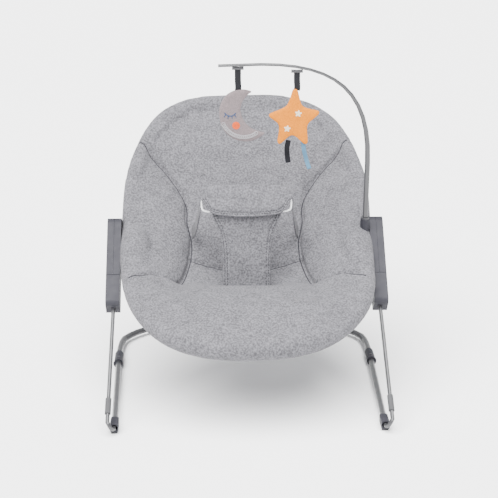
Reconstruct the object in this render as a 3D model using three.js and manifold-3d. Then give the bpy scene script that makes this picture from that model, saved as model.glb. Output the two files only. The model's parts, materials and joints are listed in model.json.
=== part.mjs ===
// Baby bouncer seat: a padded oval seat on two spring-steel wires that rise from a floor
// frame, with recline hubs, a crotch restraint and a one-sided toy bar.
// Millimetres, +Z up, the child faces -Y, and the floor is z = 0.
import * as THREE from 'three';
import { mergeVertices } from 'three/addons/utils/BufferGeometryUtils.js';
import Module from 'manifold-3d';

const wasm = await Module();
wasm.setup();

// ---- Driving dimensions ---------------------------------------------------------------
const GAP = 0.35; // between pieces that touch
const SLIDE_GAP = 0.5; // between pieces that move on each other

// Floor frame
const FLOOR_TUBE_RADIUS = 5.25;
const REAR_TUBE_RADIUS = 6;
const TUBE_WALL = 1.2;
const FLOOR_TUBE_Z = 11; // centre height of the floor tubes
const FOOT_X = 229; // centre of a front foot from the middle
const FOOT_SIZE = new THREE.Vector3(14, 32, 15); // a front foot's width, length and height
const FOOT_FRONT_Y = -262;
const PAD_HEIGHT = 3; // rubber pads under the feet
const COLLAR_X = 238;
const COLLAR_FRONT_Y = 43;
const COLLAR_LENGTH = 50;
const COLLAR_RADIUS = 8;
const COLLAR_MOUTH_RADIUS = 9.2;
const SNAP_RADIUS = 2.4;
const REAR_BEND_Y = 165; // where the rear tube starts to bend
const REAR_Y = 270; // rearmost centreline of the rear tube
const REAR_PAD_X = 110;
const REAR_PAD_LENGTH = 24;

// Spring wires
const WIRE_RADIUS = 3.5;
const WIRE_BEND_RADIUS = 8;
const WIRE_BEND_Y = -266;
const WIRE_X = 239.4; // at the floor
const WIRE_HUB_X = 236; // where a wire enters its hub
const WIRE_HUB_INSERT = 44; // length of wire inside a hub
const WIRE_SLEEVE_START = 16; // along the wire from the top of the floor bend
const WIRE_SLEEVE_LENGTH = 30;
const WIRE_SLEEVE_WALL = 1.3;

// Recline hubs, in a frame whose long axis is tilted back
const PIVOT = new THREE.Vector2(-9, 234); // y and z of the recline axis
const HUB_TILT = 44; // degrees from the floor
const HUB_INNER_X = 224.5;
const HUB_OUTER_X = 249.5;
const HUB_HALF_WIDTH = 21;
const HUB_TOP = 78; // from the recline axis to the upper end
const HUB_SPLIT = 46; // from the recline axis down to the joint between the housings
const HUB_BOTTOM = 104; // from the recline axis down to the lower end
const HUB_CORNER = 9;
const HUB_WALL = 2.5;
const PLATE_THICKNESS = 3;
const PLATE_HALF_WIDTH = 11;
const AXLE_RADIUS = 4;
const AXLE_HEAD_RADIUS = 7;
const BUTTON_RADIUS = 9;
const BUTTON_OFFSET = 26; // from the recline axis along the hub
const BUTTON_PROUD = 0.8;
const BUTTON_TRAVEL = 3.5;
const LOCK_PIN_RADIUS = 2.5;
const LOCK_STEP = 14; // degrees between recline positions
const SCREW_RADIUS = 1.6;
const SCREW_HEAD_RADIUS = 3;

// Seat hoop
const HOOP_RADIUS = 8;
const HOOP_HALF_WIDTH = 207; // centreline
const BACK_SLOPE = 0.815; // rise for each unit of run
const FRONT_SLOPE = 0.306;
const BACK_TOP_Y = 266.7;
const LIP_Y = -267.3;
const BACK_POWER = 3.2; // squareness of the back arch
const FRONT_POWER = 2.35;
const BRACKET_RADIUS = 30;
const BRACKET_THICKNESS = 25;
const SOCKET_DEPTH = 46; // from the recline axis to a tube socket's mouth
const SOCKET_WALL = 2.6;
const TUBE_END = 14; // from the recline axis to the end of a hoop tube

// Cover
const SLEEVE_SLACK = 1.6; // between the hoop and its padded sleeve
const SLEEVE_WALL = 5.4; // padding round the hoop
const PANEL_GAP = 1.2; // between cover panels
const BACK_THICKNESS = 14;
const SIDE_THICKNESS = 16;
const FRONT_THICKNESS = 34;
const SEAM_WAIST = 104; // half width of the back panel at its waist
const POCKET = new THREE.Vector2(0, 203); // y and z of the seam across the seat
const POCKET_DIP = 15; // of the seat below that seam
const CREST = new THREE.Vector2(-130, 214);
const UNDERSIDE_THICKNESS = 3;
const UNDERSIDE_DROP = 24;

// Restraint
const CROTCH_WIDTH = 88;
const CROTCH_TOP_WIDTH = 122;
const CROTCH_THICKNESS = 7;
const CROTCH_BASE = new THREE.Vector2(-62, 197);
const RESTRAINT_LEAN = 8; // degrees back from upright
const CROTCH_HEIGHT = 145; // up to the middle of the waist band
const FLAP_WIDTH = 162;
const FLAP_HEIGHT = 54;
const FLAP_DROP = 20; // the flap's lower edge below the middle of the waist band
const FLAP_THICKNESS = 7;
const RING_RADIUS = 2.2;
const BELT_WIDTH = 25;
const BELT_THICKNESS = 2.4;

// Toy bar
const BAR_SOCKET = new THREE.Vector3(215.5, 9, 268); // bottom of the socket
const BAR_LEAN = 9; // degrees forward from upright
const SOCKET_RADIUS = 8.5;
const SOCKET_HEIGHT = 32;
const TANG_DEPTH = 9;
const TANG_RADIUS = 3;
const BAR_PEG_RADIUS = 4;
const BAR_PEG_DEPTH = 22;
const BAR_COLLAR_HEIGHT = 3.5; // from the socket's mouth to the foot of the bar
const BAR_PIN_RADIUS = 1.8;
const BAR_PIN_DEPTH = 12;
const BAR_HEIGHT = 292; // from the socket's mouth to the top of the bar
const BAR_REACH = 264; // from the socket to the tip, sideways
const BAR_ROOT_WIDTH = 9;
const BAR_TIP_WIDTH = 4;
const BAR_DROOP = 2; // of the bar's free end
const LOOP_HALF_WIDTH = 11;
const LOOP_HEIGHT = 8;
const STRAP_TOP = 5; // of a strap below its loop's hole
const BAR_DEPTH = 7;
const TOY_STRAP_WIDTH = 11;
const TOY_STRAP_THICKNESS = 1.6;
const MOON_STRAP_LENGTH = 33;
const STAR_STRAP_LENGTH = 26;
const STAR_OFFSET = -3; // of the star's centre from its strap
const TOY_THICKNESS = 30;
const MOON_REACH = 230; // from the socket to each toy, sideways
const STAR_REACH = 128;
const MOON_RADIUS = 43;
const MOON_WIDTH = 34; // of the crescent at its fattest
const MOON_OFFSET = 9; // of the crescent's centre from its strap
const STAR_RADIUS = 48;
const STAR_STRETCH = 1.14; // taller than it is wide
const STAR_NOTCH = 0.58; // inner corners' share of the radius
const RIBBON_THICKNESS = 1.2;

// ---- Shape helpers --------------------------------------------------------------------
const radians = THREE.MathUtils.degToRad;
const lerp = THREE.MathUtils.lerp;
const smooth = (x, a, b) => THREE.MathUtils.smoothstep(x, a, b);

function toSolid(geometry) {
  const bare = geometry.clone();
  bare.deleteAttribute('normal');
  bare.deleteAttribute('uv');
  const merged = mergeVertices(bare, 1e-3);
  return new wasm.Manifold(new wasm.Mesh({
    numProp: 3,
    vertProperties: new Float32Array(merged.attributes.position.array),
    triVerts: new Uint32Array(merged.index.array),
  }));
}

function toGeometry(solid) {
  const mesh = solid.getMesh();
  const geometry = new THREE.BufferGeometry();
  geometry.setAttribute('position', new THREE.BufferAttribute(mesh.vertProperties, 3));
  geometry.setIndex(new THREE.BufferAttribute(mesh.triVerts, 1));
  return geometry;
}

function cut(geometry, ...tools) {
  return toGeometry(tools.reduce((solid, tool) => solid.subtract(toSolid(tool)), toSolid(geometry)));
}

function join(geometry, ...others) {
  return toGeometry(others.reduce((solid, other) => solid.add(toSolid(other)), toSolid(geometry)));
}

function mirrored(geometry) {
  const copy = mergeVertices(geometry.clone().deleteAttribute('normal').deleteAttribute('uv'), 1e-3);
  copy.scale(-1, 1, 1);
  const index = copy.index.array;
  for (let i = 0; i < index.length; i += 3) {
    [index[i], index[i + 1]] = [index[i + 1], index[i]];
  }
  return copy;
}

// A round bar from one point to another.
function rod(from, to, radius, sides = 12, endRadius = radius) {
  const axis = to.clone().sub(from);
  const geometry = new THREE.CylinderGeometry(endRadius, radius, axis.length(), sides);
  geometry.applyQuaternion(new THREE.Quaternion().setFromUnitVectors(
    new THREE.Vector3(0, 1, 0), axis.clone().normalize()));
  const middle = from.clone().add(to).multiplyScalar(0.5);
  return geometry.translate(middle.x, middle.y, middle.z);
}

function disc(radius, inner = 0, sides = 10) {
  const shape = new THREE.Shape();
  for (let i = 0; i < sides; i += 1) {
    const angle = (i / sides) * 2 * Math.PI;
    shape[i ? 'lineTo' : 'moveTo'](radius * Math.cos(angle), radius * Math.sin(angle));
  }
  shape.closePath();
  if (inner > 0) {
    const hole = new THREE.Path();
    for (let i = 0; i < sides; i += 1) {
      const angle = (-i / sides) * 2 * Math.PI;
      hole[i ? 'lineTo' : 'moveTo'](inner * Math.cos(angle), inner * Math.sin(angle));
    }
    hole.closePath();
    shape.holes.push(hole);
  }
  return shape;
}

function sweep(path, shape, steps) {
  return new THREE.ExtrudeGeometry(shape, { extrudePath: path, steps, bevelEnabled: false });
}

// A loft through rings of points, each ring running the same way round.
function loft(rings) {
  const count = rings[0].length;
  const points = rings.flat();
  const triangles = [];
  for (let r = 0; r + 1 < rings.length; r += 1) {
    for (let i = 0; i < count; i += 1) {
      const a = r * count + i;
      const b = r * count + ((i + 1) % count);
      triangles.push(a, b, b + count, a, b + count, a + count);
    }
  }
  const last = (rings.length - 1) * count;
  for (let i = 1; i + 1 < count; i += 1) {
    triangles.push(0, i + 1, i, last, last + i, last + i + 1);
  }
  const geometry = new THREE.BufferGeometry().setFromPoints(points);
  geometry.setIndex(triangles);
  return geometry;
}

// A padded panel: a surface (u, v) -> point on its top face, with a thickness straight down.
function panel(surface, thickness, uSteps, vSteps) {
  const points = [];
  const triangles = [];
  const layer = (uSteps + 1) * (vSteps + 1);
  for (const lower of [0, 1]) {
    for (let j = 0; j <= vSteps; j += 1) {
      for (let i = 0; i <= uSteps; i += 1) {
        const point = surface(i / uSteps, j / vSteps);
        point.z -= lower * thickness;
        points.push(point);
      }
    }
  }
  const at = (i, j, lower) => lower * layer + j * (uSteps + 1) + i;
  const quad = (a, b, c, d) => triangles.push(a, b, c, a, c, d);
  for (let j = 0; j < vSteps; j += 1) {
    for (let i = 0; i < uSteps; i += 1) {
      quad(at(i, j, 0), at(i + 1, j, 0), at(i + 1, j + 1, 0), at(i, j + 1, 0));
      quad(at(i, j, 1), at(i, j + 1, 1), at(i + 1, j + 1, 1), at(i + 1, j, 1));
    }
  }
  for (let i = 0; i < uSteps; i += 1) {
    quad(at(i, 0, 1), at(i + 1, 0, 1), at(i + 1, 0, 0), at(i, 0, 0));
    quad(at(i, vSteps, 0), at(i + 1, vSteps, 0), at(i + 1, vSteps, 1), at(i, vSteps, 1));
  }
  for (let j = 0; j < vSteps; j += 1) {
    quad(at(0, j, 0), at(0, j + 1, 0), at(0, j + 1, 1), at(0, j, 1));
    quad(at(uSteps, j, 1), at(uSteps, j + 1, 1), at(uSteps, j + 1, 0), at(uSteps, j, 0));
  }
  const geometry = new THREE.BufferGeometry().setFromPoints(points);
  geometry.setIndex(triangles);
  return geometry;
}

// ---- Materials ------------------------------------------------------------------------
function material(color, roughness, metalness = 0) {
  return () => new THREE.MeshStandardMaterial({ color, roughness, metalness });
}
const finish = {
  steel: material(0x8b8c90, 0.42, 0.55),
  plainSteel: material(0xa6a7ab, 0.35, 0.9),
  plastic: material(0x8a8992, 0.45),
  darkPlastic: material(0x6c6c72, 0.5),
  rubber: material(0x5f6066, 0.8),
  fabric: material(0xb4b4ba, 0.95),
  lining: material(0x9b9ca2, 0.95),
  ring: material(0xe8e8ea, 0.35),
  webbing: material(0x4a4b50, 0.9),
  moon: material(0xa9a3ad, 0.9),
  star: material(0xe3a02f, 0.85),
  blackRibbon: material(0x2b2b2e, 0.7),
  blueRibbon: material(0x6f9fc4, 0.7),
};

const seat = new THREE.Group();
function add(name, geometry, makeMaterial) {
  const mesh = new THREE.Mesh(geometry, makeMaterial());
  mesh.name = name;
  seat.add(mesh);
}
function addPair(name, geometry, makeMaterial) {
  add(`right_${name}`, geometry, makeMaterial);
  add(`left_${name}`, mirrored(geometry), makeMaterial);
}

// ---- Floor frame ----------------------------------------------------------------------
const V = (x, y, z) => new THREE.Vector3(x, y, z);
const collarBackY = COLLAR_FRONT_Y + COLLAR_LENGTH;
const collarMiddleY = COLLAR_FRONT_Y + COLLAR_LENGTH / 2;
const floorTubeStart = V(FOOT_X, FOOT_FRONT_Y + 14, FLOOR_TUBE_Z);
const floorTubeEnd = V(COLLAR_X, collarMiddleY - GAP, FLOOR_TUBE_Z);
const floorTubeAxis = floorTubeEnd.clone().sub(floorTubeStart).normalize();

function alongFloorTube(y) {
  const run = (y - floorTubeStart.y) / floorTubeAxis.y;
  return floorTubeStart.clone().addScaledVector(floorTubeAxis, run);
}

function floorTube() {
  const tube = rod(floorTubeStart, floorTubeEnd, FLOOR_TUBE_RADIUS);
  const bore = rod(alongFloorTube(floorTubeStart.y - 5), alongFloorTube(floorTubeEnd.y + 5),
    FLOOR_TUBE_RADIUS - TUBE_WALL);
  return cut(tube, bore, snapButtonShape(SNAP_RADIUS + GAP, 0));
}

function snapButtonShape(radius, drop) {
  const place = alongFloorTube(collarMiddleY - 9);
  const top = place.z + COLLAR_RADIUS + 0.6 - drop;
  return rod(V(place.x, place.y, place.z + 1), V(place.x, place.y, top), radius, 12);
}

function collar() {
  const outline = new THREE.CylinderGeometry(COLLAR_RADIUS, COLLAR_RADIUS, COLLAR_LENGTH, 14)
    .translate(COLLAR_X, 0, 0);
  outline.translate(0, collarMiddleY, FLOOR_TUBE_Z);
  const mouth = rod(V(COLLAR_X, COLLAR_FRONT_Y, FLOOR_TUBE_Z),
    V(COLLAR_X, COLLAR_FRONT_Y + 12, FLOOR_TUBE_Z), COLLAR_MOUTH_RADIUS, 14, COLLAR_RADIUS - 0.5);
  const frontBore = rod(alongFloorTube(COLLAR_FRONT_Y - 8), alongFloorTube(collarMiddleY + 0.5),
    FLOOR_TUBE_RADIUS + GAP, 14);
  const rearBore = rod(V(COLLAR_X, collarMiddleY, FLOOR_TUBE_Z),
    V(COLLAR_X, collarBackY + 5, FLOOR_TUBE_Z), REAR_TUBE_RADIUS + GAP, 14);
  return cut(join(outline, mouth), frontBore, rearBore, snapButtonShape(SNAP_RADIUS + GAP, -5));
}

function rearTubePath() {
  const bend = COLLAR_X * 0.16;
  const half = [
    V(COLLAR_X, collarMiddleY + GAP, FLOOR_TUBE_Z),
    V(COLLAR_X, collarBackY + 20, FLOOR_TUBE_Z),
    V(COLLAR_X - 0.8, REAR_BEND_Y - 20, FLOOR_TUBE_Z),
    V(COLLAR_X - 6, REAR_BEND_Y + 16, FLOOR_TUBE_Z),
    V(COLLAR_X - bend, REAR_BEND_Y + (REAR_Y - REAR_BEND_Y) * 0.58, FLOOR_TUBE_Z),
    V(COLLAR_X - 2 * bend, REAR_BEND_Y + (REAR_Y - REAR_BEND_Y) * 0.8, FLOOR_TUBE_Z),
    V(REAR_PAD_X, REAR_Y - 7, FLOOR_TUBE_Z),
  ];
  const other = half.map((p) => V(-p.x, p.y, p.z)).reverse();
  return new THREE.CatmullRomCurve3([...half, V(0, REAR_Y, FLOOR_TUBE_Z), ...other]);
}
const rearPath = rearTubePath();

function pointOnPath(path, x) {
  let best = path.getPointAt(0);
  for (let i = 0; i <= 600; i += 1) {
    const point = path.getPointAt(i / 600);
    if (point.y > REAR_BEND_Y && Math.abs(point.x - x) < Math.abs(best.x - x)) {
      best = point;
    }
  }
  return best;
}

function rearPad() {
  const from = pointOnPath(rearPath, REAR_PAD_X + REAR_PAD_LENGTH / 2);
  const to = pointOnPath(rearPath, REAR_PAD_X - REAR_PAD_LENGTH / 2);
  const axis = to.clone().sub(from).normalize();
  const radius = REAR_TUBE_RADIUS + 3.2;
  const body = rod(from, to, radius, 14);
  const middle = from.clone().add(to).multiplyScalar(0.5);
  const sole = new THREE.BoxGeometry(REAR_PAD_LENGTH, radius * 1.6, FLOOR_TUBE_Z);
  sole.rotateZ(Math.atan2(axis.y, axis.x)).translate(middle.x, middle.y, FLOOR_TUBE_Z / 2);
  const bore = rod(from.clone().addScaledVector(axis, -9), to.clone().addScaledVector(axis, 9),
    REAR_TUBE_RADIUS + 0.7, 14);
  return cut(join(body, sole), bore);
}

function frontFoot() {
  const block = new THREE.BoxGeometry(FOOT_SIZE.x, FOOT_SIZE.y, FOOT_SIZE.z);
  const bottom = PAD_HEIGHT + GAP;
  block.translate(FOOT_X, FOOT_FRONT_Y + FOOT_SIZE.y / 2, bottom + FOOT_SIZE.z / 2);
  const limit = rod(V(FOOT_X, FOOT_FRONT_Y - 1, FLOOR_TUBE_Z - 0.4),
    V(FOOT_X, FOOT_FRONT_Y + FOOT_SIZE.y + 1, FLOOR_TUBE_Z - 0.4), FOOT_SIZE.z * 0.6, 24);
  const rounded = toGeometry(toSolid(block).intersect(toSolid(limit)));
  const bore = rod(alongFloorTube(FOOT_FRONT_Y - 4), alongFloorTube(FOOT_FRONT_Y + FOOT_SIZE.y + 4),
    FLOOR_TUBE_RADIUS + GAP, 14);
  return cut(rounded, bore);
}

function footPad() {
  const width = FOOT_SIZE.x - 3;
  const length = FOOT_SIZE.y - 4;
  const pad = new THREE.BoxGeometry(width, length, PAD_HEIGHT);
  return pad.translate(FOOT_X, FOOT_FRONT_Y + FOOT_SIZE.y / 2, PAD_HEIGHT / 2);
}

function snapButton() {
  const place = alongFloorTube(collarMiddleY - 9);
  const foot = rod(V(place.x, place.y, place.z - 0.5), V(place.x, place.y, place.z + 1.5),
    SNAP_RADIUS + 0.5);
  return join(snapButtonShape(SNAP_RADIUS, 0), foot);
}

add('rear_floor_tube', sweep(rearPath, disc(REAR_TUBE_RADIUS, REAR_TUBE_RADIUS - TUBE_WALL, 8), 34),
  finish.steel);
addPair('floor_tube', floorTube(), finish.steel);
addPair('tube_collar', collar(), finish.plastic);
addPair('snap_button', snapButton(), finish.plainSteel);
addPair('front_foot', frontFoot(), finish.plastic);
addPair('foot_pad', footPad(), finish.rubber);
addPair('rear_pad', rearPad(), finish.rubber);

// ---- Spring wires ---------------------------------------------------------------------
// The hub frame: a runs up the hub from the recline axis, b runs across it, upper side first.
const hubUp = new THREE.Vector2(Math.cos(radians(HUB_TILT)), Math.sin(radians(HUB_TILT)));
function hubPoint(x, a, b = 0) {
  return V(x, PIVOT.x + a * hubUp.x - b * hubUp.y, PIVOT.y + a * hubUp.y + b * hubUp.x);
}
const wireMouth = hubPoint(WIRE_HUB_X, 1 - HUB_BOTTOM, 1);
const wireRise = Math.atan2(wireMouth.z - FLOOR_TUBE_Z - 2 * WIRE_BEND_RADIUS,
  wireMouth.y - WIRE_BEND_Y);
const wireBendTop = V(WIRE_X, WIRE_BEND_Y - WIRE_BEND_RADIUS * Math.sin(wireRise),
  FLOOR_TUBE_Z + WIRE_BEND_RADIUS * (1 + Math.cos(wireRise)));
const wireAxis = wireMouth.clone().sub(wireBendTop).normalize();
const wireEnd = wireMouth.clone().addScaledVector(wireAxis, WIRE_HUB_INSERT);

function springWire() {
  const points = [V(FOOT_X, WIRE_BEND_Y + 11, FLOOR_TUBE_Z), V(FOOT_X, WIRE_BEND_Y + 5, FLOOR_TUBE_Z)];
  const turn = Math.PI - wireRise;
  const bendSteps = 6;
  for (let i = 0; i <= bendSteps; i += 1) {
    const angle = -Math.PI / 2 - (turn * i) / bendSteps;
    const side = THREE.MathUtils.lerp(FOOT_X, WIRE_X, i / bendSteps);
    points.push(V(side, WIRE_BEND_Y + WIRE_BEND_RADIUS * Math.cos(angle),
      FLOOR_TUBE_Z + WIRE_BEND_RADIUS * (1 + Math.sin(angle))));
  }
  points.push(wireBendTop.clone().addScaledVector(wireAxis, 6));
  points.push(wireEnd);
  const sides = 10;
  const rings = points.map((point, k) => {
    const before = points[Math.max(k - 1, 0)];
    const after = points[Math.min(k + 1, points.length - 1)];
    const along = after.clone().sub(before).normalize();
    const across = V(1, 0, 0).addScaledVector(along, -along.x).normalize();
    const up = new THREE.Vector3().crossVectors(along, across);
    return Array.from({ length: sides }, (_, i) => {
      const angle = (2 * Math.PI * i) / sides;
      return point.clone().addScaledVector(across, WIRE_RADIUS * Math.cos(angle))
        .addScaledVector(up, WIRE_RADIUS * Math.sin(angle));
    });
  });
  return loft(rings);
}

function wireSleeve() {
  const from = wireBendTop.clone().addScaledVector(wireAxis, WIRE_SLEEVE_START);
  const to = from.clone().addScaledVector(wireAxis, WIRE_SLEEVE_LENGTH);
  const outer = rod(from, to, WIRE_RADIUS + GAP + WIRE_SLEEVE_WALL);
  const bore = rod(from.clone().addScaledVector(wireAxis, -5), to.clone().addScaledVector(wireAxis, 5),
    WIRE_RADIUS + GAP);
  return cut(outer, bore);
}

addPair('spring_wire', springWire(), finish.steel);
addPair('wire_sleeve', wireSleeve(), finish.rubber);

// ---- Recline hubs ---------------------------------------------------------------------
// A slab with rounded ends in the hub frame, between two x planes.
function hubSlab(x0, x1, bottom, top, halfWidth, bottomCorner, topCorner) {
  const shape = new THREE.Shape();
  shape.moveTo(bottom + bottomCorner, -halfWidth);
  shape.lineTo(top - topCorner, -halfWidth);
  shape.absarc(top - topCorner, topCorner - halfWidth, topCorner, -Math.PI / 2, 0);
  shape.absarc(top - topCorner, halfWidth - topCorner, topCorner, 0, Math.PI / 2);
  shape.lineTo(bottom + bottomCorner, halfWidth);
  shape.absarc(bottom + bottomCorner, halfWidth - bottomCorner, bottomCorner, Math.PI / 2, Math.PI);
  shape.absarc(bottom + bottomCorner, bottomCorner - halfWidth, bottomCorner, Math.PI, 1.5 * Math.PI);
  const geometry = new THREE.ExtrudeGeometry(shape, {
    depth: x1 - x0, bevelEnabled: false, curveSegments: 4,
  });
  const place = new THREE.Matrix4().makeBasis(
    V(0, hubUp.x, hubUp.y), V(0, -hubUp.y, hubUp.x), V(1, 0, 0));
  place.setPosition(x0, PIVOT.x, PIVOT.y);
  return geometry.applyMatrix4(place);
}

function crossRod(x0, x1, a, b, radius, sides = 16) {
  return rod(hubPoint(x0, a, b), hubPoint(x1, a, b), radius, sides);
}

const hubMiddleX = WIRE_HUB_X + 1;
const screwPlaces = [-32, HUB_TOP - 16];

function legBracket() {
  const block = hubSlab(HUB_INNER_X, HUB_OUTER_X, -HUB_BOTTOM, -HUB_SPLIT - GAP, HUB_HALF_WIDTH,
    HUB_CORNER, 0.5);
  const bore = rod(wireMouth.clone().addScaledVector(wireAxis, -14),
    wireEnd.clone().addScaledVector(wireAxis, 30), WIRE_RADIUS + GAP);
  const slot = hubSlab(hubMiddleX - PLATE_THICKNESS / 2 - GAP, hubMiddleX + PLATE_THICKNESS / 2 + GAP,
    -HUB_SPLIT - 8, -HUB_SPLIT + 6, PLATE_HALF_WIDTH + GAP, 1, 1);
  return cut(block, bore, slot);
}

function hubShell(x0, x1, openToOuter) {
  const shell = hubSlab(x0, x1, -HUB_SPLIT, HUB_TOP, HUB_HALF_WIDTH, 0.5, HUB_HALF_WIDTH - 1);
  const pocket = hubSlab(openToOuter ? x0 + HUB_WALL : x0 - 5, openToOuter ? x1 + 5 : x1 - HUB_WALL,
    -HUB_SPLIT - 6, HUB_TOP - HUB_WALL, HUB_HALF_WIDTH - HUB_WALL, 1, HUB_HALF_WIDTH - HUB_WALL - 1);
  const holes = screwPlaces.map((a) => crossRod(x0 - 4, x1 + 4, a, 0, SCREW_RADIUS + GAP, 8));
  return [shell, pocket, holes];
}

function outerCover() {
  const [shell, pocket, holes] = hubShell(hubMiddleX + GAP / 2, HUB_OUTER_X, false);
  const buttonHole = crossRod(HUB_OUTER_X - 8, HUB_OUTER_X + 4, BUTTON_OFFSET, 0,
    BUTTON_RADIUS + GAP, 14);
  return cut(shell, pocket, buttonHole, holes[0], holes[1]);
}

function innerCover() {
  const [shell, pocket, holes] = hubShell(HUB_INNER_X, hubMiddleX - GAP / 2, true);
  const axleHole = crossRod(HUB_INNER_X - 4, HUB_INNER_X + 8, 0, 0, AXLE_RADIUS + GAP);
  const pinHole = crossRod(HUB_INNER_X - 4, HUB_INNER_X + 8, BUTTON_OFFSET, 0,
    LOCK_PIN_RADIUS + GAP, 12);
  return cut(shell, pocket, axleHole, pinHole, holes[0], holes[1]);
}

function hubPlate() {
  const plate = hubSlab(hubMiddleX - PLATE_THICKNESS / 2, hubMiddleX + PLATE_THICKNESS / 2,
    -HUB_SPLIT - 7, 44, PLATE_HALF_WIDTH, 2, 8);
  const x0 = hubMiddleX - 5;
  const x1 = hubMiddleX + 5;
  return cut(plate, crossRod(x0, x1, 0, 0, AXLE_RADIUS + GAP),
    crossRod(x0, x1, BUTTON_OFFSET, 0, LOCK_PIN_RADIUS + GAP, 12),
    crossRod(x0, x1, screwPlaces[0], 0, SCREW_RADIUS + GAP, 8));
}

const bracketOuterX = HUB_INNER_X - 3;
const bracketInnerX = bracketOuterX - BRACKET_THICKNESS;

function pivotBolt() {
  const headFace = hubMiddleX + PLATE_THICKNESS / 2 + GAP;
  return join(crossRod(bracketInnerX - 1, headFace + 1, 0, 0, AXLE_RADIUS),
    crossRod(headFace, headFace + 3.5, 0, 0, AXLE_HEAD_RADIUS, 6));
}

function reclineButton() {
  const capBase = HUB_OUTER_X - 6.5;
  const cap = crossRod(capBase, HUB_OUTER_X + BUTTON_PROUD, BUTTON_OFFSET, 0, BUTTON_RADIUS, 14);
  const pin = crossRod(bracketOuterX + SLIDE_GAP, capBase + 1, BUTTON_OFFSET, 0, LOCK_PIN_RADIUS, 12);
  return join(cap, pin);
}

function coverScrew(a) {
  const shaft = crossRod(HUB_INNER_X + HUB_WALL + 1, HUB_OUTER_X + 0.4, a, 0, SCREW_RADIUS, 8);
  const head = crossRod(HUB_OUTER_X + GAP, HUB_OUTER_X + 0.8 + GAP, a, 0, SCREW_HEAD_RADIUS, 12);
  return join(shaft, head);
}

addPair('leg_bracket', legBracket(), finish.plastic);
addPair('hub_outer_cover', outerCover(), finish.plastic);
addPair('hub_inner_cover', innerCover(), finish.plastic);
addPair('hub_plate', hubPlate(), finish.plainSteel);
addPair('pivot_bolt', pivotBolt(), finish.plainSteel);
addPair('recline_button', reclineButton(), finish.darkPlastic);
addPair('hub_screw', coverScrew(screwPlaces[1]), finish.plainSteel);

// ---- Seat hoop ------------------------------------------------------------------------
const backDirection = V(0, 1, BACK_SLOPE).normalize();
const frontDirection = V(0, -1, -FRONT_SLOPE).normalize();
const pivotPoint = (x) => V(x, PIVOT.x, PIVOT.y);
const hoopX = bracketOuterX - BRACKET_THICKNESS / 2 - 2;
const archStartY = (direction) => PIVOT.x + direction.y * SOCKET_DEPTH;

function slopeZ(y) {
  return PIVOT.y + (y > PIVOT.x ? BACK_SLOPE : FRONT_SLOPE) * (y - PIVOT.x);
}

// Half width of an arch, squared off by a power, at a distance along its reach.
function archWidth(halfWidth, reach, power, distance) {
  const share = THREE.MathUtils.clamp(distance / reach, 0, 1);
  return halfWidth * (1 - share ** power) ** (1 / power);
}

// A hoop tube runs straight through its sockets and then round an arch.
function hoopPath(direction, endY, power) {
  const startY = archStartY(direction);
  const reach = Math.abs(endY - startY);
  const onLine = (side, distance) => V(side * HOOP_HALF_WIDTH, PIVOT.x, PIVOT.y)
    .addScaledVector(direction, distance);
  const straight = (side) => [0, 0.33, 0.67].map((share) => onLine(side,
    lerp(TUBE_END, SOCKET_DEPTH, share)));
  const arch = [];
  const quarter = 12;
  for (let i = 0; i <= 2 * quarter; i += 1) {
    const angle = (Math.PI / 2) * (i / quarter);
    const c = Math.cos(angle);
    const x = HOOP_HALF_WIDTH * Math.sign(c) * Math.abs(c) ** (2 / power);
    const y = startY + Math.sign(direction.y) * reach * Math.abs(Math.sin(angle)) ** (2 / power);
    arch.push(V(x, y, slopeZ(y)));
  }
  return new THREE.CatmullRomCurve3([...straight(1), ...arch, ...straight(-1).reverse()]);
}
const backPath = hoopPath(backDirection, BACK_TOP_Y, BACK_POWER);
const frontPath = hoopPath(frontDirection, LIP_Y, FRONT_POWER);

// The stretch of a hoop path that is outside its two sockets.
function coveredPath(path) {
  const length = path.getLength();
  const skip = (SOCKET_DEPTH - TUBE_END + 3) / length;
  const count = 40;
  return new THREE.CatmullRomCurve3(Array.from({ length: count + 1 }, (_, i) => (
    path.getPointAt(THREE.MathUtils.lerp(skip, 1 - skip, i / count)))));
}

function frameBracket() {
  const body = rod(pivotPoint(bracketInnerX), pivotPoint(bracketOuterX), BRACKET_RADIUS, 14);
  const socket = (direction, from, to, radius) => rod(
    pivotPoint(hoopX).addScaledVector(direction, from),
    pivotPoint(hoopX).addScaledVector(direction, to), radius, 14);
  const directions = [backDirection, frontDirection];
  const sleeves = directions.map((d) => socket(d, 4, SOCKET_DEPTH, HOOP_RADIUS + SOCKET_WALL));
  const bores = directions.map((d) => socket(d, TUBE_END - 1, SOCKET_DEPTH + 20, HOOP_RADIUS + GAP));
  const lockHoles = [0, 1, 2].map((step) => {
    const angle = radians(HUB_TILT + step * LOCK_STEP);
    const y = PIVOT.x + BUTTON_OFFSET * Math.cos(angle);
    const z = PIVOT.y + BUTTON_OFFSET * Math.sin(angle);
    return rod(V(bracketOuterX - BUTTON_TRAVEL - 2, y, z), V(bracketOuterX + 3, y, z),
      LOCK_PIN_RADIUS + GAP, 12);
  });
  const axleBore = rod(pivotPoint(bracketInnerX - 5), pivotPoint(bracketOuterX + 5),
    AXLE_RADIUS + GAP);
  return cut(join(body, ...sleeves), ...bores, axleBore, ...lockHoles);
}

const hoopSection = disc(HOOP_RADIUS, HOOP_RADIUS - TUBE_WALL, 8);
const backTube = sweep(backPath, hoopSection, 30);
const frontTube = sweep(frontPath, hoopSection, 30);
add('back_frame_tube', backTube, finish.steel);
add('front_frame_tube', frontTube, finish.steel);

// ---- Toy bar socket -------------------------------------------------------------------
const barUp = V(0, -Math.sin(radians(BAR_LEAN)), Math.cos(radians(BAR_LEAN)));
const barPoint = (side, up, front = 0) => BAR_SOCKET.clone().add(V(side, 0, 0))
  .addScaledVector(barUp, up)
  .add(V(0, -Math.cos(radians(BAR_LEAN)) * front, -Math.sin(radians(BAR_LEAN)) * front));

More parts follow.
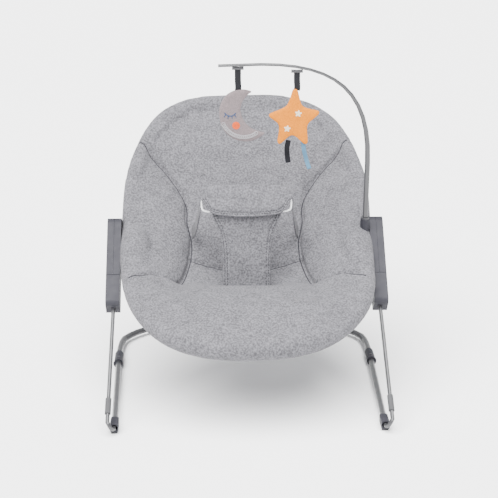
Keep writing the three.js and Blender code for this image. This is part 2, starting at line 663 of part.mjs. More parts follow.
// The socket stands on the right frame bracket, held by a tang that drops into it.
function barSocketBody(grow) {
  const boss = rod(barPoint(0, -grow), barPoint(0, SOCKET_HEIGHT + grow), SOCKET_RADIUS + grow, 14);
  const tang = rod(barPoint(2, -TANG_DEPTH - grow), barPoint(2, 4), TANG_RADIUS + grow, 12);
  return join(boss, tang);
}

function toyBarSocket() {
  const pegBore = rod(barPoint(0, SOCKET_HEIGHT - BAR_PEG_DEPTH - 1), barPoint(0, SOCKET_HEIGHT + 5),
    BAR_PEG_RADIUS + GAP, 14);
  return cut(barSocketBody(0), pegBore);
}
const bracket = frameBracket();
add('right_frame_bracket', cut(bracket, barSocketBody(GAP)), finish.plastic);
add('left_frame_bracket', mirrored(bracket), finish.plastic);
add('toy_bar_socket', toyBarSocket(), finish.darkPlastic);

// ---- Cover ----------------------------------------------------------------------------
const sleeveRadius = HOOP_RADIUS + SLEEVE_SLACK + SLEEVE_WALL;
function hoopSleeve(path) {
  return sweep(coveredPath(path), disc(sleeveRadius, HOOP_RADIUS + SLEEVE_SLACK + 0.5, 10), 30);
}

const inset = sleeveRadius + PANEL_GAP + 1;
const backArchY = archStartY(backDirection);
const frontArchY = archStartY(frontDirection);
const backReach = BACK_TOP_Y - backArchY;
const frontReach = frontArchY - LIP_Y;
function innerWidth(y) {
  return y > PIVOT.x
    ? archWidth(HOOP_HALF_WIDTH - inset, backReach - inset, BACK_POWER, y - backArchY)
    : archWidth(HOOP_HALF_WIDTH - inset, frontReach - inset, FRONT_POWER, frontArchY - y);
}

// Height of the cover's top face: a centre line that dips into a pocket, blended to the rim.
const centreLine = new THREE.SplineCurve([
  new THREE.Vector2(LIP_Y + inset, slopeZ(LIP_Y) + 26),
  new THREE.Vector2(CREST.x - 60, CREST.y - 2),
  CREST,
  new THREE.Vector2(POCKET.x - 58, POCKET.y - POCKET_DIP),
  POCKET,
  new THREE.Vector2(POCKET.x + 60, POCKET.y + 56),
  new THREE.Vector2(POCKET.x + 150, POCKET.y + 139),
  new THREE.Vector2(BACK_TOP_Y - inset, slopeZ(BACK_TOP_Y - inset) + 5),
]).getPoints(160);

function centreZ(y) {
  for (let i = 0; i + 1 < centreLine.length; i += 1) {
    const [a, b] = [centreLine[i], centreLine[i + 1]];
    if (y >= a.x && y <= b.x) {
      return THREE.MathUtils.mapLinear(y, a.x, b.x, a.y, b.y);
    }
  }
  return y < centreLine[0].x ? centreLine[0].y : centreLine.at(-1).y;
}

function topZ(x, y) {
  const share = Math.min(Math.abs(x) / (HOOP_HALF_WIDTH - inset), 1);
  const rim = slopeZ(y) + 12;
  return THREE.MathUtils.lerp(centreZ(y), rim, share ** 2.6);
}
const onCover = (x, y) => V(x, y, topZ(x, y));

function seamWidth(y) {
  const rise = THREE.MathUtils.clamp((y - 45) / 126, 0, 1);
  return SEAM_WAIST + (194 - SEAM_WAIST) * rise ** 1.5;
}

const backPanelEnd = BACK_TOP_Y - inset - 6;
function backPanel() {
  return panel((u, v) => {
    const y = lerp(POCKET.x + PANEL_GAP, backPanelEnd, v);
    const half = Math.min(seamWidth(y) - PANEL_GAP / 2, innerWidth(y));
    return onCover(lerp(-half, half, u), y);
  }, BACK_THICKNESS, 8, 10);
}

const sideFrontY = POCKET.x - 66;
function sidePanel() {
  const sideEnd = 138;
  return panel((u, v) => {
    const y = lerp(sideFrontY, sideEnd, v);
    return onCover(lerp(seamWidth(y) + PANEL_GAP / 2, innerWidth(y), u), y);
  }, SIDE_THICKNESS, 4, 8);
}

function frontPanel() {
  const half = HOOP_HALF_WIDTH - inset - 2;
  const lipDistance = (x) => archWidth(frontReach - inset, HOOP_HALF_WIDTH - inset, FRONT_POWER,
    Math.abs(x));
  return panel((u, v) => {
    const x = lerp(-half, half, u);
    const start = lerp(POCKET.x - PANEL_GAP, sideFrontY - PANEL_GAP,
      smooth(Math.abs(x), SEAM_WAIST - 36, SEAM_WAIST - 16));
    return onCover(x, lerp(Math.min(frontArchY - lipDistance(x), start - 20), start, v));
  }, FRONT_THICKNESS, 18, 8);
}

function underside() {
  return panel((u, v) => {
    const y = lerp(POCKET.x + 14, backPanelEnd - 8, v);
    const half = Math.min(innerWidth(y), HOOP_HALF_WIDTH - inset) - 4;
    const point = onCover(lerp(-half, half, u), y);
    point.z -= UNDERSIDE_DROP;
    return point;
  }, UNDERSIDE_THICKNESS, 6, 7);
}

add('cover_back_sleeve', hoopSleeve(backPath), finish.fabric);
add('cover_front_sleeve', hoopSleeve(frontPath), finish.fabric);
add('cover_back_panel', backPanel(), finish.fabric);
addPair('cover_side_panel', sidePanel(), finish.fabric);
add('cover_front_panel', frontPanel(), finish.fabric);
add('cover_underside', underside(), finish.lining);

// ---- Restraint ------------------------------------------------------------------------
// The restraint's own plane leans back: w runs across, h up from its base, d forward.
const lean = radians(RESTRAINT_LEAN);
function restraintPlace(forward) {
  return new THREE.Matrix4().makeBasis(V(1, 0, 0), V(0, Math.sin(lean), Math.cos(lean)),
    V(0, -Math.cos(lean), Math.sin(lean)))
    .setPosition(0, CROTCH_BASE.x - Math.cos(lean) * forward,
      CROTCH_BASE.y + Math.sin(lean) * forward);
}

function crotchPanel() {
  const shape = new THREE.Shape();
  const [foot, wide] = [CROTCH_WIDTH / 2, CROTCH_TOP_WIDTH / 2];
  const top = CROTCH_HEIGHT - FLAP_DROP + FLAP_HEIGHT;
  const shoulder = CROTCH_HEIGHT - FLAP_DROP - 2;
  shape.moveTo(-foot, 0);
  shape.lineTo(foot, 0);
  shape.quadraticCurveTo(foot, shoulder * 0.74, wide, shoulder);
  shape.lineTo(wide - 4, top);
  shape.lineTo(4 - wide, top);
  shape.lineTo(-wide, shoulder);
  shape.quadraticCurveTo(-foot, shoulder * 0.74, -foot, 0);
  const geometry = new THREE.ExtrudeGeometry(shape, {
    depth: CROTCH_THICKNESS, bevelEnabled: false, curveSegments: 6,
  });
  return geometry.applyMatrix4(restraintPlace(0));
}

function flapPanel() {
  const half = FLAP_WIDTH / 2;
  const shape = new THREE.Shape();
  shape.moveTo(10 - half, 0);
  shape.lineTo(half - 10, 0);
  shape.quadraticCurveTo(half, 2, half, 14);
  shape.lineTo(half - 2, FLAP_HEIGHT - 8);
  shape.quadraticCurveTo(half - 4, FLAP_HEIGHT, half - 16, FLAP_HEIGHT);
  shape.lineTo(16 - half, FLAP_HEIGHT);
  shape.quadraticCurveTo(4 - half, FLAP_HEIGHT, 2 - half, FLAP_HEIGHT - 8);
  shape.lineTo(-half, 14);
  shape.quadraticCurveTo(-half, 2, 10 - half, 0);
  const geometry = new THREE.ExtrudeGeometry(shape, {
    depth: FLAP_THICKNESS, bevelEnabled: false, curveSegments: 4,
  });
  geometry.translate(0, CROTCH_HEIGHT - FLAP_DROP, 0);
  return geometry.applyMatrix4(restraintPlace(CROTCH_THICKNESS + 1.2));
}

const ringX = CROTCH_TOP_WIDTH / 2 + RING_RADIUS + 4.5;
function beltRing() {
  const path = new THREE.CatmullRomCurve3([
    V(0, -13, 0), V(9, -9, 0), V(9, 9, 0), V(0, 13, 0), V(-3, 9, 0), V(-3, -9, 0),
  ], true);
  const geometry = sweep(path, disc(RING_RADIUS, 0, 6), 16);
  geometry.translate(ringX, CROTCH_HEIGHT, CROTCH_THICKNESS / 2);
  return geometry.applyMatrix4(restraintPlace(0));
}

function waistStrap() {
  const start = V(ringX + 9 + RING_RADIUS + BELT_THICKNESS, CROTCH_BASE.x + 22,
    CROTCH_BASE.y + CROTCH_HEIGHT);
  const slot = V(SEAM_WAIST - 8, POCKET.x + 40, topZ(SEAM_WAIST - 8, POCKET.x + 40) + 14);
  const path = new THREE.QuadraticBezierCurve3(start,
    V(start.x + 4, (start.y + slot.y) / 2, start.z - 14), slot);
  const half = BELT_WIDTH / 2;
  const rings = path.getPoints(8).map((point, k) => {
    const along = path.getTangent(k / 8);
    const across = V(0, -along.z, along.y).normalize();
    const out = V(BELT_THICKNESS / 2, 0, 0);
    const edge = across.multiplyScalar(half);
    return [
      point.clone().add(edge).add(out), point.clone().add(edge).sub(out),
      point.clone().sub(edge).sub(out), point.clone().sub(edge).add(out),
    ].reverse();
  });
  return loft(rings);
}

add('crotch_panel', crotchPanel(), finish.fabric);
add('restraint_flap', flapPanel(), finish.fabric);
addPair('belt_ring', beltRing(), finish.ring);
addPair('waist_strap', waistStrap(), finish.fabric);

// ---- Toy bar --------------------------------------------------------------------------
const barFoot = SOCKET_HEIGHT + BAR_COLLAR_HEIGHT;
const barTop = SOCKET_HEIGHT + BAR_HEIGHT;
const barCurve = new THREE.CubicBezierCurve3(
  V(0, SOCKET_HEIGHT + BAR_HEIGHT * 0.38, 0), V(0, SOCKET_HEIGHT + BAR_HEIGHT * 0.83, 0),
  V(-60, barTop, 0), V(-189, barTop, 0));
const barLine = [V(0, barFoot, 0), V(0, barFoot + 14, 0), V(0, barFoot + 60, 0),
  ...barCurve.getPoints(12), V(-BAR_REACH, barTop - BAR_DROOP, 0)];

function toyBar() {
  const corner = 0.6;
  const rings = barLine.map((point, k) => {
    const before = barLine[Math.max(k - 1, 0)];
    const after = barLine[Math.min(k + 1, barLine.length - 1)];
    const along = after.clone().sub(before).normalize();
    const across = V(along.y, -along.x, 0);
    const share = k / (barLine.length - 1);
    const half = lerp(BAR_ROOT_WIDTH, BAR_TIP_WIDTH, smooth(share, 0.15, 0.8)) / 2;
    const depth = BAR_DEPTH / 2;
    const corners = [
      [half, corner * depth], [corner * half, depth], [-corner * half, depth],
      [-half, corner * depth], [-half, -corner * depth], [-corner * half, -depth],
      [corner * half, -depth], [half, -corner * depth],
    ];
    return corners.map(([w, d]) => {
      const flat = point.clone().addScaledVector(across, w);
      return barPoint(flat.x, flat.y, d);
    }).reverse();
  });
  const pinBore = rod(barPoint(0, barFoot - 4), barPoint(0, barFoot + BAR_PIN_DEPTH + 0.5),
    BAR_PIN_RADIUS + GAP);
  return cut(loft(rings), pinBore);
}

// The peg plugs into the socket; a pin on its top carries the bar, which turns on it.
function toyBarPeg() {
  const peg = rod(barPoint(0, SOCKET_HEIGHT - BAR_PEG_DEPTH), barPoint(0, SOCKET_HEIGHT), BAR_PEG_RADIUS);
  const collarDisc = rod(barPoint(0, SOCKET_HEIGHT + GAP), barPoint(0, barFoot - SLIDE_GAP),
    SOCKET_RADIUS - 1, 14);
  const neck = rod(barPoint(0, SOCKET_HEIGHT - 2), barPoint(0, SOCKET_HEIGHT + GAP + 0.5), BAR_PEG_RADIUS);
  const pin = rod(barPoint(0, SOCKET_HEIGHT), barPoint(0, barFoot + BAR_PIN_DEPTH), BAR_PIN_RADIUS);
  return join(peg, collarDisc, neck, pin);
}
add('toy_bar_peg', toyBarPeg(), finish.darkPlastic);
add('toy_bar', toyBar(), finish.steel);

// Height of the bar's lowest underside over a loop's width, sideways from the socket.
function barUnder(reach) {
  const heights = barLine.slice(1).flatMap((end, k) => [0, 0.1, 0.2, 0.3, 0.4, 0.5, 0.6, 0.7, 0.8, 0.9, 1]
    .map((share) => barLine[k].clone().lerp(end, share))
    .filter((point) => Math.abs(point.x + reach) <= LOOP_HALF_WIDTH)
    .map((point) => point.y));
  return Math.min(...heights) - BAR_TIP_WIDTH / 2 - 1.2;
}

// A flat loop under the bar that a webbing strap hangs from.
function barLoop(reach) {
  const outer = new THREE.Shape();
  const [w, h] = [LOOP_HALF_WIDTH, LOOP_HEIGHT];
  outer.moveTo(-w, -h);
  outer.lineTo(w, -h);
  outer.lineTo(w, 0);
  outer.lineTo(-w, 0);
  outer.closePath();
  const hole = new THREE.Path();
  hole.moveTo(2 - w, 2 - h);
  hole.lineTo(2 - w, -2);
  hole.lineTo(w - 2, -2);
  hole.lineTo(w - 2, 2 - h);
  hole.closePath();
  outer.holes.push(hole);
  const geometry = new THREE.ExtrudeGeometry(outer, { depth: 5, bevelEnabled: false });
  return geometry.translate(-reach, barUnder(reach) - GAP, -2.5).applyMatrix4(barPlace());
}

function barPlace() {
  return new THREE.Matrix4().makeBasis(V(1, 0, 0), barUp,
    V(0, -Math.cos(radians(BAR_LEAN)), -Math.sin(radians(BAR_LEAN))))
    .setPosition(BAR_SOCKET);
}

const loopPoint = (reach) => barPoint(-reach, barUnder(reach) - LOOP_HEIGHT + 1);
const strapEnd = (reach, length) => loopPoint(reach).add(V(0, 0, -length));

function toyStrap(reach, length) {
  const top = loopPoint(reach);
  const tape = length - STRAP_TOP;
  const strap = new THREE.BoxGeometry(TOY_STRAP_WIDTH, TOY_STRAP_THICKNESS, tape);
  return strap.translate(top.x, top.y, top.z - STRAP_TOP - tape / 2);
}

// A crescent, fat at its lower left, with round cross-sections along its arc.
function moonToy() {
  const centre = strapEnd(MOON_REACH, MOON_STRAP_LENGTH).add(V(MOON_OFFSET, 0, -MOON_RADIUS - GAP));
  const [start, end] = [radians(69), radians(322)];
  const rings = [];
  const count = 12;
  for (let k = 0; k <= count; k += 1) {
    const angle = lerp(start, end, k / count);
    const fullness = Math.max(Math.sin((Math.PI * k) / count), 0.02);
    const width = MOON_WIDTH * fullness ** 0.75;
    const depth = TOY_THICKNESS * fullness ** 0.5;
    rings.push(Array.from({ length: 8 }, (_, i) => {
      const turn = (2 * Math.PI * i) / 8;
      const radius = MOON_RADIUS - width / 2 + (width / 2) * Math.cos(turn);
      return V(centre.x + radius * Math.cos(angle), centre.y + (depth / 2) * Math.sin(turn),
        centre.z + radius * Math.sin(angle));
    }));
  }
  return loft(rings);
}

// A five-pointed star, fullest in the middle of its thickness.
function starToy() {
  const centre = strapEnd(STAR_REACH, STAR_STRAP_LENGTH)
    .add(V(STAR_OFFSET, 0, -STAR_RADIUS * STAR_STRETCH - 3 * GAP));
  const points = 5;
  const layers = [0.5, 0.3, 0, -0.3, -0.5];
  const rings = layers.map((layer) => Array.from({ length: 2 * points }, (_, i) => {
    const swell = Math.sqrt(1 - 2.4 * layer * layer);
    const radius = (i % 2 ? STAR_RADIUS * STAR_NOTCH : STAR_RADIUS) * swell;
    const angle = Math.PI / 2 + (Math.PI * i) / points;
    return V(centre.x + radius * Math.cos(angle), centre.y + layer * TOY_THICKNESS,
      centre.z + radius * STAR_STRETCH * Math.sin(angle));
  }));
  return loft(rings);
}

function ribbon(side, length) {
  const centre = strapEnd(STAR_REACH, STAR_STRAP_LENGTH);
  const geometry = new THREE.BoxGeometry(9, RIBBON_THICKNESS, length);
  const starHeight = STAR_RADIUS * STAR_STRETCH * (1 + Math.cos(Math.PI / 5));
  return geometry.translate(centre.x + side, centre.y, centre.z - starHeight - 5 * GAP - length / 2);
}

add('moon_loop', barLoop(MOON_REACH), finish.darkPlastic);
add('star_loop', barLoop(STAR_REACH), finish.darkPlastic);
add('moon_strap', toyStrap(MOON_REACH, MOON_STRAP_LENGTH), finish.webbing);
add('star_strap', toyStrap(STAR_REACH, STAR_STRAP_LENGTH), finish.webbing);
add('moon_toy', moonToy(), finish.moon);
add('star_toy', starToy(), finish.star);
add('star_black_ribbon', ribbon(-17, 30), finish.blackRibbon);
add('star_blue_ribbon', ribbon(17, 38), finish.blueRibbon);

export default seat;
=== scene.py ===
import json
import math

import bpy
import numpy as np
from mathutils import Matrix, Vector, noise
from mathutils.bvhtree import BVHTree


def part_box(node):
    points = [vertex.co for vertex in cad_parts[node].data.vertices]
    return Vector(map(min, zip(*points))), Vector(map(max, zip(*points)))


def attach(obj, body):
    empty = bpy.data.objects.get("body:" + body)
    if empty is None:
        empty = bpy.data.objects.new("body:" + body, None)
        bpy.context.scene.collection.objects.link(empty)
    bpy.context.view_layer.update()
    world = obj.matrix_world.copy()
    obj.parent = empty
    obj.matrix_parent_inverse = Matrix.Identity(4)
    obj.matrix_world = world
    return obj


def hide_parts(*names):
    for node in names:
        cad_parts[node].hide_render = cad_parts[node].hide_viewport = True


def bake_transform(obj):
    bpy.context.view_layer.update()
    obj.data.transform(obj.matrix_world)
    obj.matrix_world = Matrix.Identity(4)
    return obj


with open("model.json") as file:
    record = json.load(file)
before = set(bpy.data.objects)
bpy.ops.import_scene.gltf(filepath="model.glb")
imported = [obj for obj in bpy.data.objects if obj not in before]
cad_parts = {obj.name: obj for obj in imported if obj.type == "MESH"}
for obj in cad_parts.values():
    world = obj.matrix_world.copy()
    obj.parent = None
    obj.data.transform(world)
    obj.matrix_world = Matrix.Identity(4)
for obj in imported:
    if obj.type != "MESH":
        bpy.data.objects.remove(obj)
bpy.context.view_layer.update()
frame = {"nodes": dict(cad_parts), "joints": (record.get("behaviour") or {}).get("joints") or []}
joints = {j["name"]: j for j in frame["joints"]}
scene = bpy.context.scene


# ---- Helpers ---------------------------------------------------------------------------
def smoothstep(value, low, high):
    t = np.clip((value - low) / (high - low), 0, 1)
    return t * t * (3 - 2 * t)


def spline(points, count, closed=False):
    """Evenly spaced points of a Catmull-Rom curve."""
    p = [np.array(q, float) for q in points]
    ends = [p[-1], *p, p[0], p[1]] if closed else [2 * p[0] - p[1], *p, 2 * p[-1] - p[-2]]
    dense = []
    for a, b, c, d in zip(ends, ends[1:], ends[2:], ends[3:]):
        for t in np.arange(0, 1, 0.05):
            dense.append(0.5 * (2 * b + (c - a) * t + (2 * a - 5 * b + 4 * c - d) * t ** 2
                                + (3 * b - a - 3 * c + d) * t ** 3))
    dense.append(ends[-2] if not closed else p[0])
    dense = np.array(dense)
    steps = np.r_[0, np.cumsum(np.linalg.norm(np.diff(dense, axis=0), axis=1))]
    wanted = np.linspace(0, steps[-1], count + (1 if closed else 0))
    if closed:
        wanted = wanted[:-1]
    return np.stack([np.interp(wanted, steps, dense[:, k]) for k in range(dense.shape[1])], 1)


def make(name, verts, faces, body=None, material=None, slot=None, smooth=True):
    """A new mesh object, with its body when one is given. Its slot argument is not used."""
    mesh = bpy.data.meshes.new(name)
    mesh.from_pydata([tuple(map(float, v)) for v in verts], [], [tuple(map(int, f)) for f in faces])
    mesh.validate()
    mesh.update()
    mesh.polygons.foreach_set("use_smooth", [smooth] * len(mesh.polygons))
    obj = bpy.data.objects.new(name, mesh)
    scene.collection.objects.link(obj)
    if material is not None:
        mesh.materials.append(material)
    if body is not None:
        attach(obj, body)
    return obj


def grid_faces(rows, columns, wrap=False):
    width = columns if wrap else columns - 1
    return [(r * columns + c, r * columns + (c + 1) % columns,
             (r + 1) * columns + (c + 1) % columns, (r + 1) * columns + c)
            for r in range(rows - 1) for c in range(width)]


def loft(rings, closed=False):
    """Vertices and faces through rings of points, capped unless it is closed."""
    rings = [np.array(r, float) for r in rings]
    count = len(rings[0])
    verts = np.concatenate(rings)
    faces = grid_faces(len(rings), count, wrap=True)
    last = (len(rings) - 1) * count
    if closed:
        faces += [(last + c, last + (c + 1) % count, (c + 1) % count, c) for c in range(count)]
    else:
        faces.append(tuple(reversed(range(count))))
        faces.append(tuple(range(last, last + count)))
    return verts, faces


def tube(path, radius, sides=10, closed=False, flat=1.0):
    """Vertices and faces of a tube along a path; flat squashes its section upright."""
    path = np.array(path, float)
    count = len(path)
    rings = []
    normal = None
    for k in range(count):
        before = path[k - 1] if (k or closed) else path[0]
        after = path[(k + 1) % count] if (k + 1 < count or closed) else path[-1]
        along = after - before
        along /= np.linalg.norm(along)
        if normal is None:
            seed = np.array([0, 0, 1.0]) if abs(along[2]) < 0.9 else np.array([0, 1.0, 0])
            normal = seed - along * (seed @ along)
        normal = normal - along * (normal @ along)
        normal /= np.linalg.norm(normal)
        side = np.cross(along, normal)
        size = radius[k] if hasattr(radius, "__len__") else radius
        rings.append([path[k] + size * (side * math.cos(a) + flat * normal * math.sin(a))
                      for a in np.linspace(0, 2 * math.pi, sides, endpoint=False)])
    return loft(rings, closed)


def gather(parts):
    """One set of vertices and faces from several."""
    verts, faces, start = [], [], 0
    for v, f in parts:
        verts.extend(v)
        faces.extend(tuple(i + start for i in face) for face in f)
        start += len(v)
    return np.array(verts), faces


def coordinates(obj):
    co = np.empty(len(obj.data.vertices) * 3)
    obj.data.vertices.foreach_get("co", co)
    return co.reshape(-1, 3)


def normals(obj):
    found = np.empty(len(obj.data.vertices) * 3)
    obj.data.vertex_normals.foreach_get("vector", found)
    return found.reshape(-1, 3)


def move_to(obj, co):
    obj.data.vertices.foreach_set("co", np.asarray(co, float).ravel())
    obj.data.update()


def baked(obj, kind, **settings):
    """Applies one modifier to obj's mesh."""
    modifier = obj.modifiers.new("step", kind)
    for key, value in settings.items():
        setattr(modifier, key, value)
    graph = bpy.context.evaluated_depsgraph_get()
    result = bpy.data.meshes.new_from_object(obj.evaluated_get(graph), depsgraph=graph)
    obj.modifiers.clear()
    old = obj.data
    obj.data = result
    bpy.data.meshes.remove(old)
    obj.data.polygons.foreach_set("use_smooth", [True] * len(obj.data.polygons))
    return obj


def puff(obj, pressure, cap, pinned, stiffness=15, frames=20):
    """Swells padding under its cloth; pinned is the weight that holds each vertex."""
    group = obj.vertex_groups.new(name="held")
    for weight in np.unique(np.round(pinned, 2)):
        if weight > 0:
            group.add([int(i) for i in np.nonzero(np.round(pinned, 2) == weight)[0]],
                      float(weight), "REPLACE")
    start = coordinates(obj)
    cloth = obj.modifiers.new("cloth", "CLOTH")
    s = cloth.settings
    s.quality = 5
    s.mass = 0.3
    s.tension_stiffness = s.compression_stiffness = stiffness
    s.shear_stiffness = stiffness / 3
    s.bending_stiffness = 0.5
    s.use_pressure = True
    s.uniform_pressure_force = pressure
    s.effector_weights.gravity = 0
    s.vertex_group_mass = "held"
    cloth.collision_settings.use_collision = False
    cloth.point_cache.frame_start, cloth.point_cache.frame_end = 1, frames
    for f in range(1, frames + 1):
        scene.frame_set(f)
    shaped = obj.evaluated_get(bpy.context.evaluated_depsgraph_get())
    end = np.empty(len(start) * 3)
    shaped.data.vertices.foreach_get("co", end)
    moved = end.reshape(-1, 3) - start
    obj.modifiers.clear()
    obj.vertex_groups.clear()
    scene.frame_set(1)
    far = np.linalg.norm(moved, axis=1)
    moved *= (cap * np.tanh(far / cap) / np.maximum(far, 1e-9))[:, None]
    move_to(obj, start + moved)
    return obj


def distance_to(points, line):
    """Distance from each point to a polyline, and how far along it the nearest place is."""
    best = np.full(len(points), 1e9)
    along = np.zeros(len(points))
    total = 0
    for a, b in zip(line, line[1:]):
        d = b - a
        length = np.linalg.norm(d)
        t = np.clip(((points - a) @ d) / (length ** 2), 0, 1)
        gap = np.linalg.norm(points - (a + t[:, None] * d), axis=1)
        near = gap < best
        best[near] = gap[near]
        along[near] = total + t[near] * length
        total += length
    return best, along


def wander(points, scale, seed=0.0):
    """Smooth noise from -1 to 1 at each point."""
    return np.array([noise.noise(Vector((*(p * scale),)) + Vector((seed, seed * 1.7, -seed)))
                     for p in points])


# ---- Materials -------------------------------------------------------------------------
def nodes_of(name):
    """A new material, its node tree and its shader."""
    material = bpy.data.materials.new(name)
    material.use_nodes = True
    tree = material.node_tree
    return material, tree, tree.nodes["Principled BSDF"]


def noise_node(tree, scale, detail=2.0, stretch=(1, 1, 1)):
    """Noise in the object's own space."""
    place = tree.nodes.new("ShaderNodeTexCoord")
    mapping = tree.nodes.new("ShaderNodeMapping")
    mapping.inputs["Scale"].default_value = stretch
    texture = tree.nodes.new("ShaderNodeTexNoise")
    texture.inputs["Scale"].default_value = scale
    texture.inputs["Detail"].default_value = detail
    tree.links.new(place.outputs["Object"], mapping.inputs["Vector"])
    tree.links.new(mapping.outputs["Vector"], texture.inputs["Vector"])
    return texture.outputs["Fac"]


def ramp(tree, value, *stops):
    node = tree.nodes.new("ShaderNodeValToRGB")
    while len(node.color_ramp.elements) < len(stops):
        node.color_ramp.elements.new(0.5)
    for element, (at, colour) in zip(node.color_ramp.elements, stops):
        element.position = at
        element.color = (*colour, 1)
    tree.links.new(value, node.inputs["Fac"])
    return node.outputs["Color"]


def blend_colours(tree, share, a, b, mode="MIX"):
    node = tree.nodes.new("ShaderNodeMix")
    node.data_type = "RGBA"
    node.blend_type = mode
    if isinstance(share, float):
        node.inputs["Factor"].default_value = share
    else:
        tree.links.new(share, node.inputs["Factor"])
    tree.links.new(a, node.inputs["A"])
    tree.links.new(b, node.inputs["B"])
    return node.outputs["Result"]


def bump(tree, shader, height, strength, distance):
    node = tree.nodes.new("ShaderNodeBump")
    node.inputs["Strength"].default_value = strength
    node.inputs["Distance"].default_value = distance
    tree.links.new(height, node.inputs["Height"])
    tree.links.new(node.outputs["Normal"], shader.inputs["Normal"])


def shades(colour, *factors):
    return [tuple(min(1.0, c * f) for c in colour) for f in factors]


def cloth_material(name, colour, contrast=0.2, speckle=520, weave=900, sheen=0.25, rough=0.95,
                   depth=0.0005):
    """Mottled yarn: fine light and dark flecks over a softer cloudiness, with a knitted bump."""
    material, tree, shader = nodes_of(name)
    low, mid, high = shades(colour, 1 - contrast, 1.0, 1 + contrast)
    flecks = ramp(tree, noise_node(tree, speckle, 1.5), (0.34, low), (0.5, mid), (0.66, high))
    slow_low, slow_high = shades(colour, 1 - contrast / 3.5, 1 + contrast / 3.5)
    clouds = ramp(tree, noise_node(tree, speckle / 9, 2, (1, 1, 1.6)), (0.35, slow_low), (0.65, slow_high))
    tree.links.new(blend_colours(tree, 0.45, flecks, clouds), shader.inputs["Base Color"])
    shader.inputs["Roughness"].default_value = rough
    shader.inputs["Sheen Weight"].default_value = sheen
    shader.inputs["Sheen Roughness"].default_value = 0.5
    shader.inputs["Specular IOR Level"].default_value = 0.15
    bump(tree, shader, noise_node(tree, weave, 1, (1, 1, 1.3)), 0.6, depth)
    return material


def hard_material(name, colour, rough=0.45, metallic=0.0, grain=260, contrast=0.05, depth=0.00008,
                  coat=0.0, specular=0.5):
    """A moulded or painted finish: almost even, with faint mottling and grain."""
    material, tree, shader = nodes_of(name)
    low, high = shades(colour, 1 - contrast, 1 + contrast)
    tree.links.new(ramp(tree, noise_node(tree, 35, 3), (0.35, low), (0.65, high)),
                   shader.inputs["Base Color"])
    rough_low, rough_high = (rough - 0.05,) * 3, (rough + 0.05,) * 3
    tree.links.new(ramp(tree, noise_node(tree, 90, 2), (0.3, rough_low), (0.7, rough_high)),
                   shader.inputs["Roughness"])
    shader.inputs["Metallic"].default_value = metallic
    shader.inputs["Coat Weight"].default_value = coat
    shader.inputs["Specular IOR Level"].default_value = specular
    bump(tree, shader, noise_node(tree, grain * 8, 1), 0.3, depth)
    return material


fabric = cloth_material("heather_fabric", (0.100, 0.098, 0.107), contrast=0.66, speckle=330, sheen=0.06)
# Stitch thread: real topstitching, its dark colour partly painted shade for the stitch grooves and the crotch
# panel's edge.
thread_and_shade = cloth_material("stitch_thread_and_shade", (0.034, 0.034, 0.038), contrast=0.12, sheen=0.0, depth=0.0001)
# Painted shade: a near-black cloth for the tubes laid along the seat's seams, standing in for the shade in
# their creases.
seam_shade = cloth_material("seam_painted_shade", (0.026, 0.026, 0.030), contrast=0.1, sheen=0.0, depth=0.0001)
hub_plastic = hard_material("hub_plastic", (0.021, 0.0205, 0.0265), rough=0.6, specular=0.25)
dark_plastic = hard_material("dark_plastic", (0.032, 0.032, 0.036), rough=0.45)
painted = hard_material("painted_steel", (0.040, 0.040, 0.043), rough=0.34, metallic=0.2, coat=0.3)
plain_steel = hard_material("plain_steel", (0.3, 0.3, 0.3), rough=0.35, metallic=0.9)
rubber = hard_material("rubber", (0.045, 0.045, 0.048), rough=0.8)
ring_plastic = hard_material("ring_plastic", (0.75, 0.75, 0.76), rough=0.35)
webbing = cloth_material("webbing", (0.012, 0.012, 0.014), contrast=0.3, speckle=700, sheen=0.02)
moon_cloth = cloth_material("moon_plush", (0.140, 0.114, 0.118), contrast=0.25, speckle=500, sheen=0.08)
moon_trim = cloth_material("moon_trim", (0.26, 0.25, 0.26), contrast=0.15, speckle=1200, sheen=0.05)
moon_blue = cloth_material("moon_lashes", (0.030, 0.055, 0.120), contrast=0.1, speckle=1500, sheen=0.0)
moon_cheek = cloth_material("moon_cheek", (0.52, 0.080, 0.020), contrast=0.1, speckle=1500, sheen=0.0)
star_cloth = cloth_material("star_plush", (0.50, 0.150, 0.002), contrast=0.18, speckle=500, sheen=0.04)
star_white = cloth_material("star_embroidery", (0.62, 0.55, 0.42), contrast=0.1, speckle=1500, sheen=0.05)
black_ribbon = cloth_material("black_ribbon", (0.008, 0.008, 0.010), contrast=0.2, speckle=1200, sheen=0.0)
blue_ribbon = cloth_material("blue_ribbon", (0.065, 0.140, 0.210), contrast=0.15, speckle=1200, sheen=0.0)

pivot = Vector(joints["recline"]["pos_m"])

CAD_FINISH = {
    "painted_steel": (painted, ["rear_floor_tube", "floor_tube", "spring_wire", "toy_bar",
                                "back_frame_tube", "front_frame_tube", "frame_bracket"]),
    "plain_steel": (plain_steel, ["hub_plate", "pivot_bolt", "hub_screw"]),
    "hub_plastic": (hub_plastic, ["leg_bracket", "hub_outer_cover", "hub_inner_cover", "toy_bar_socket",
                                  "tube_collar", "front_foot"]),
    "dark_plastic": (dark_plastic, ["recline_button", "snap_button", "toy_bar_peg", "moon_loop",
                                    "star_loop"]),
    "rubber": (rubber, ["foot_pad", "rear_pad", "wire_sleeve"]),
}
slot_of = {}
for slot_name, (material, names) in CAD_FINISH.items():
    for name in names:
        slot_of[name] = (slot_name, material)
for name, node in frame["nodes"].items():
    plain = name.removeprefix("left_").removeprefix("right_")
    if plain in slot_of:
        slot_name, material = slot_of[plain]
        node.data.materials.clear()
        node.data.materials.append(material)
        node.data.polygons.foreach_set("material_index", [0] * len(node.data.polygons))

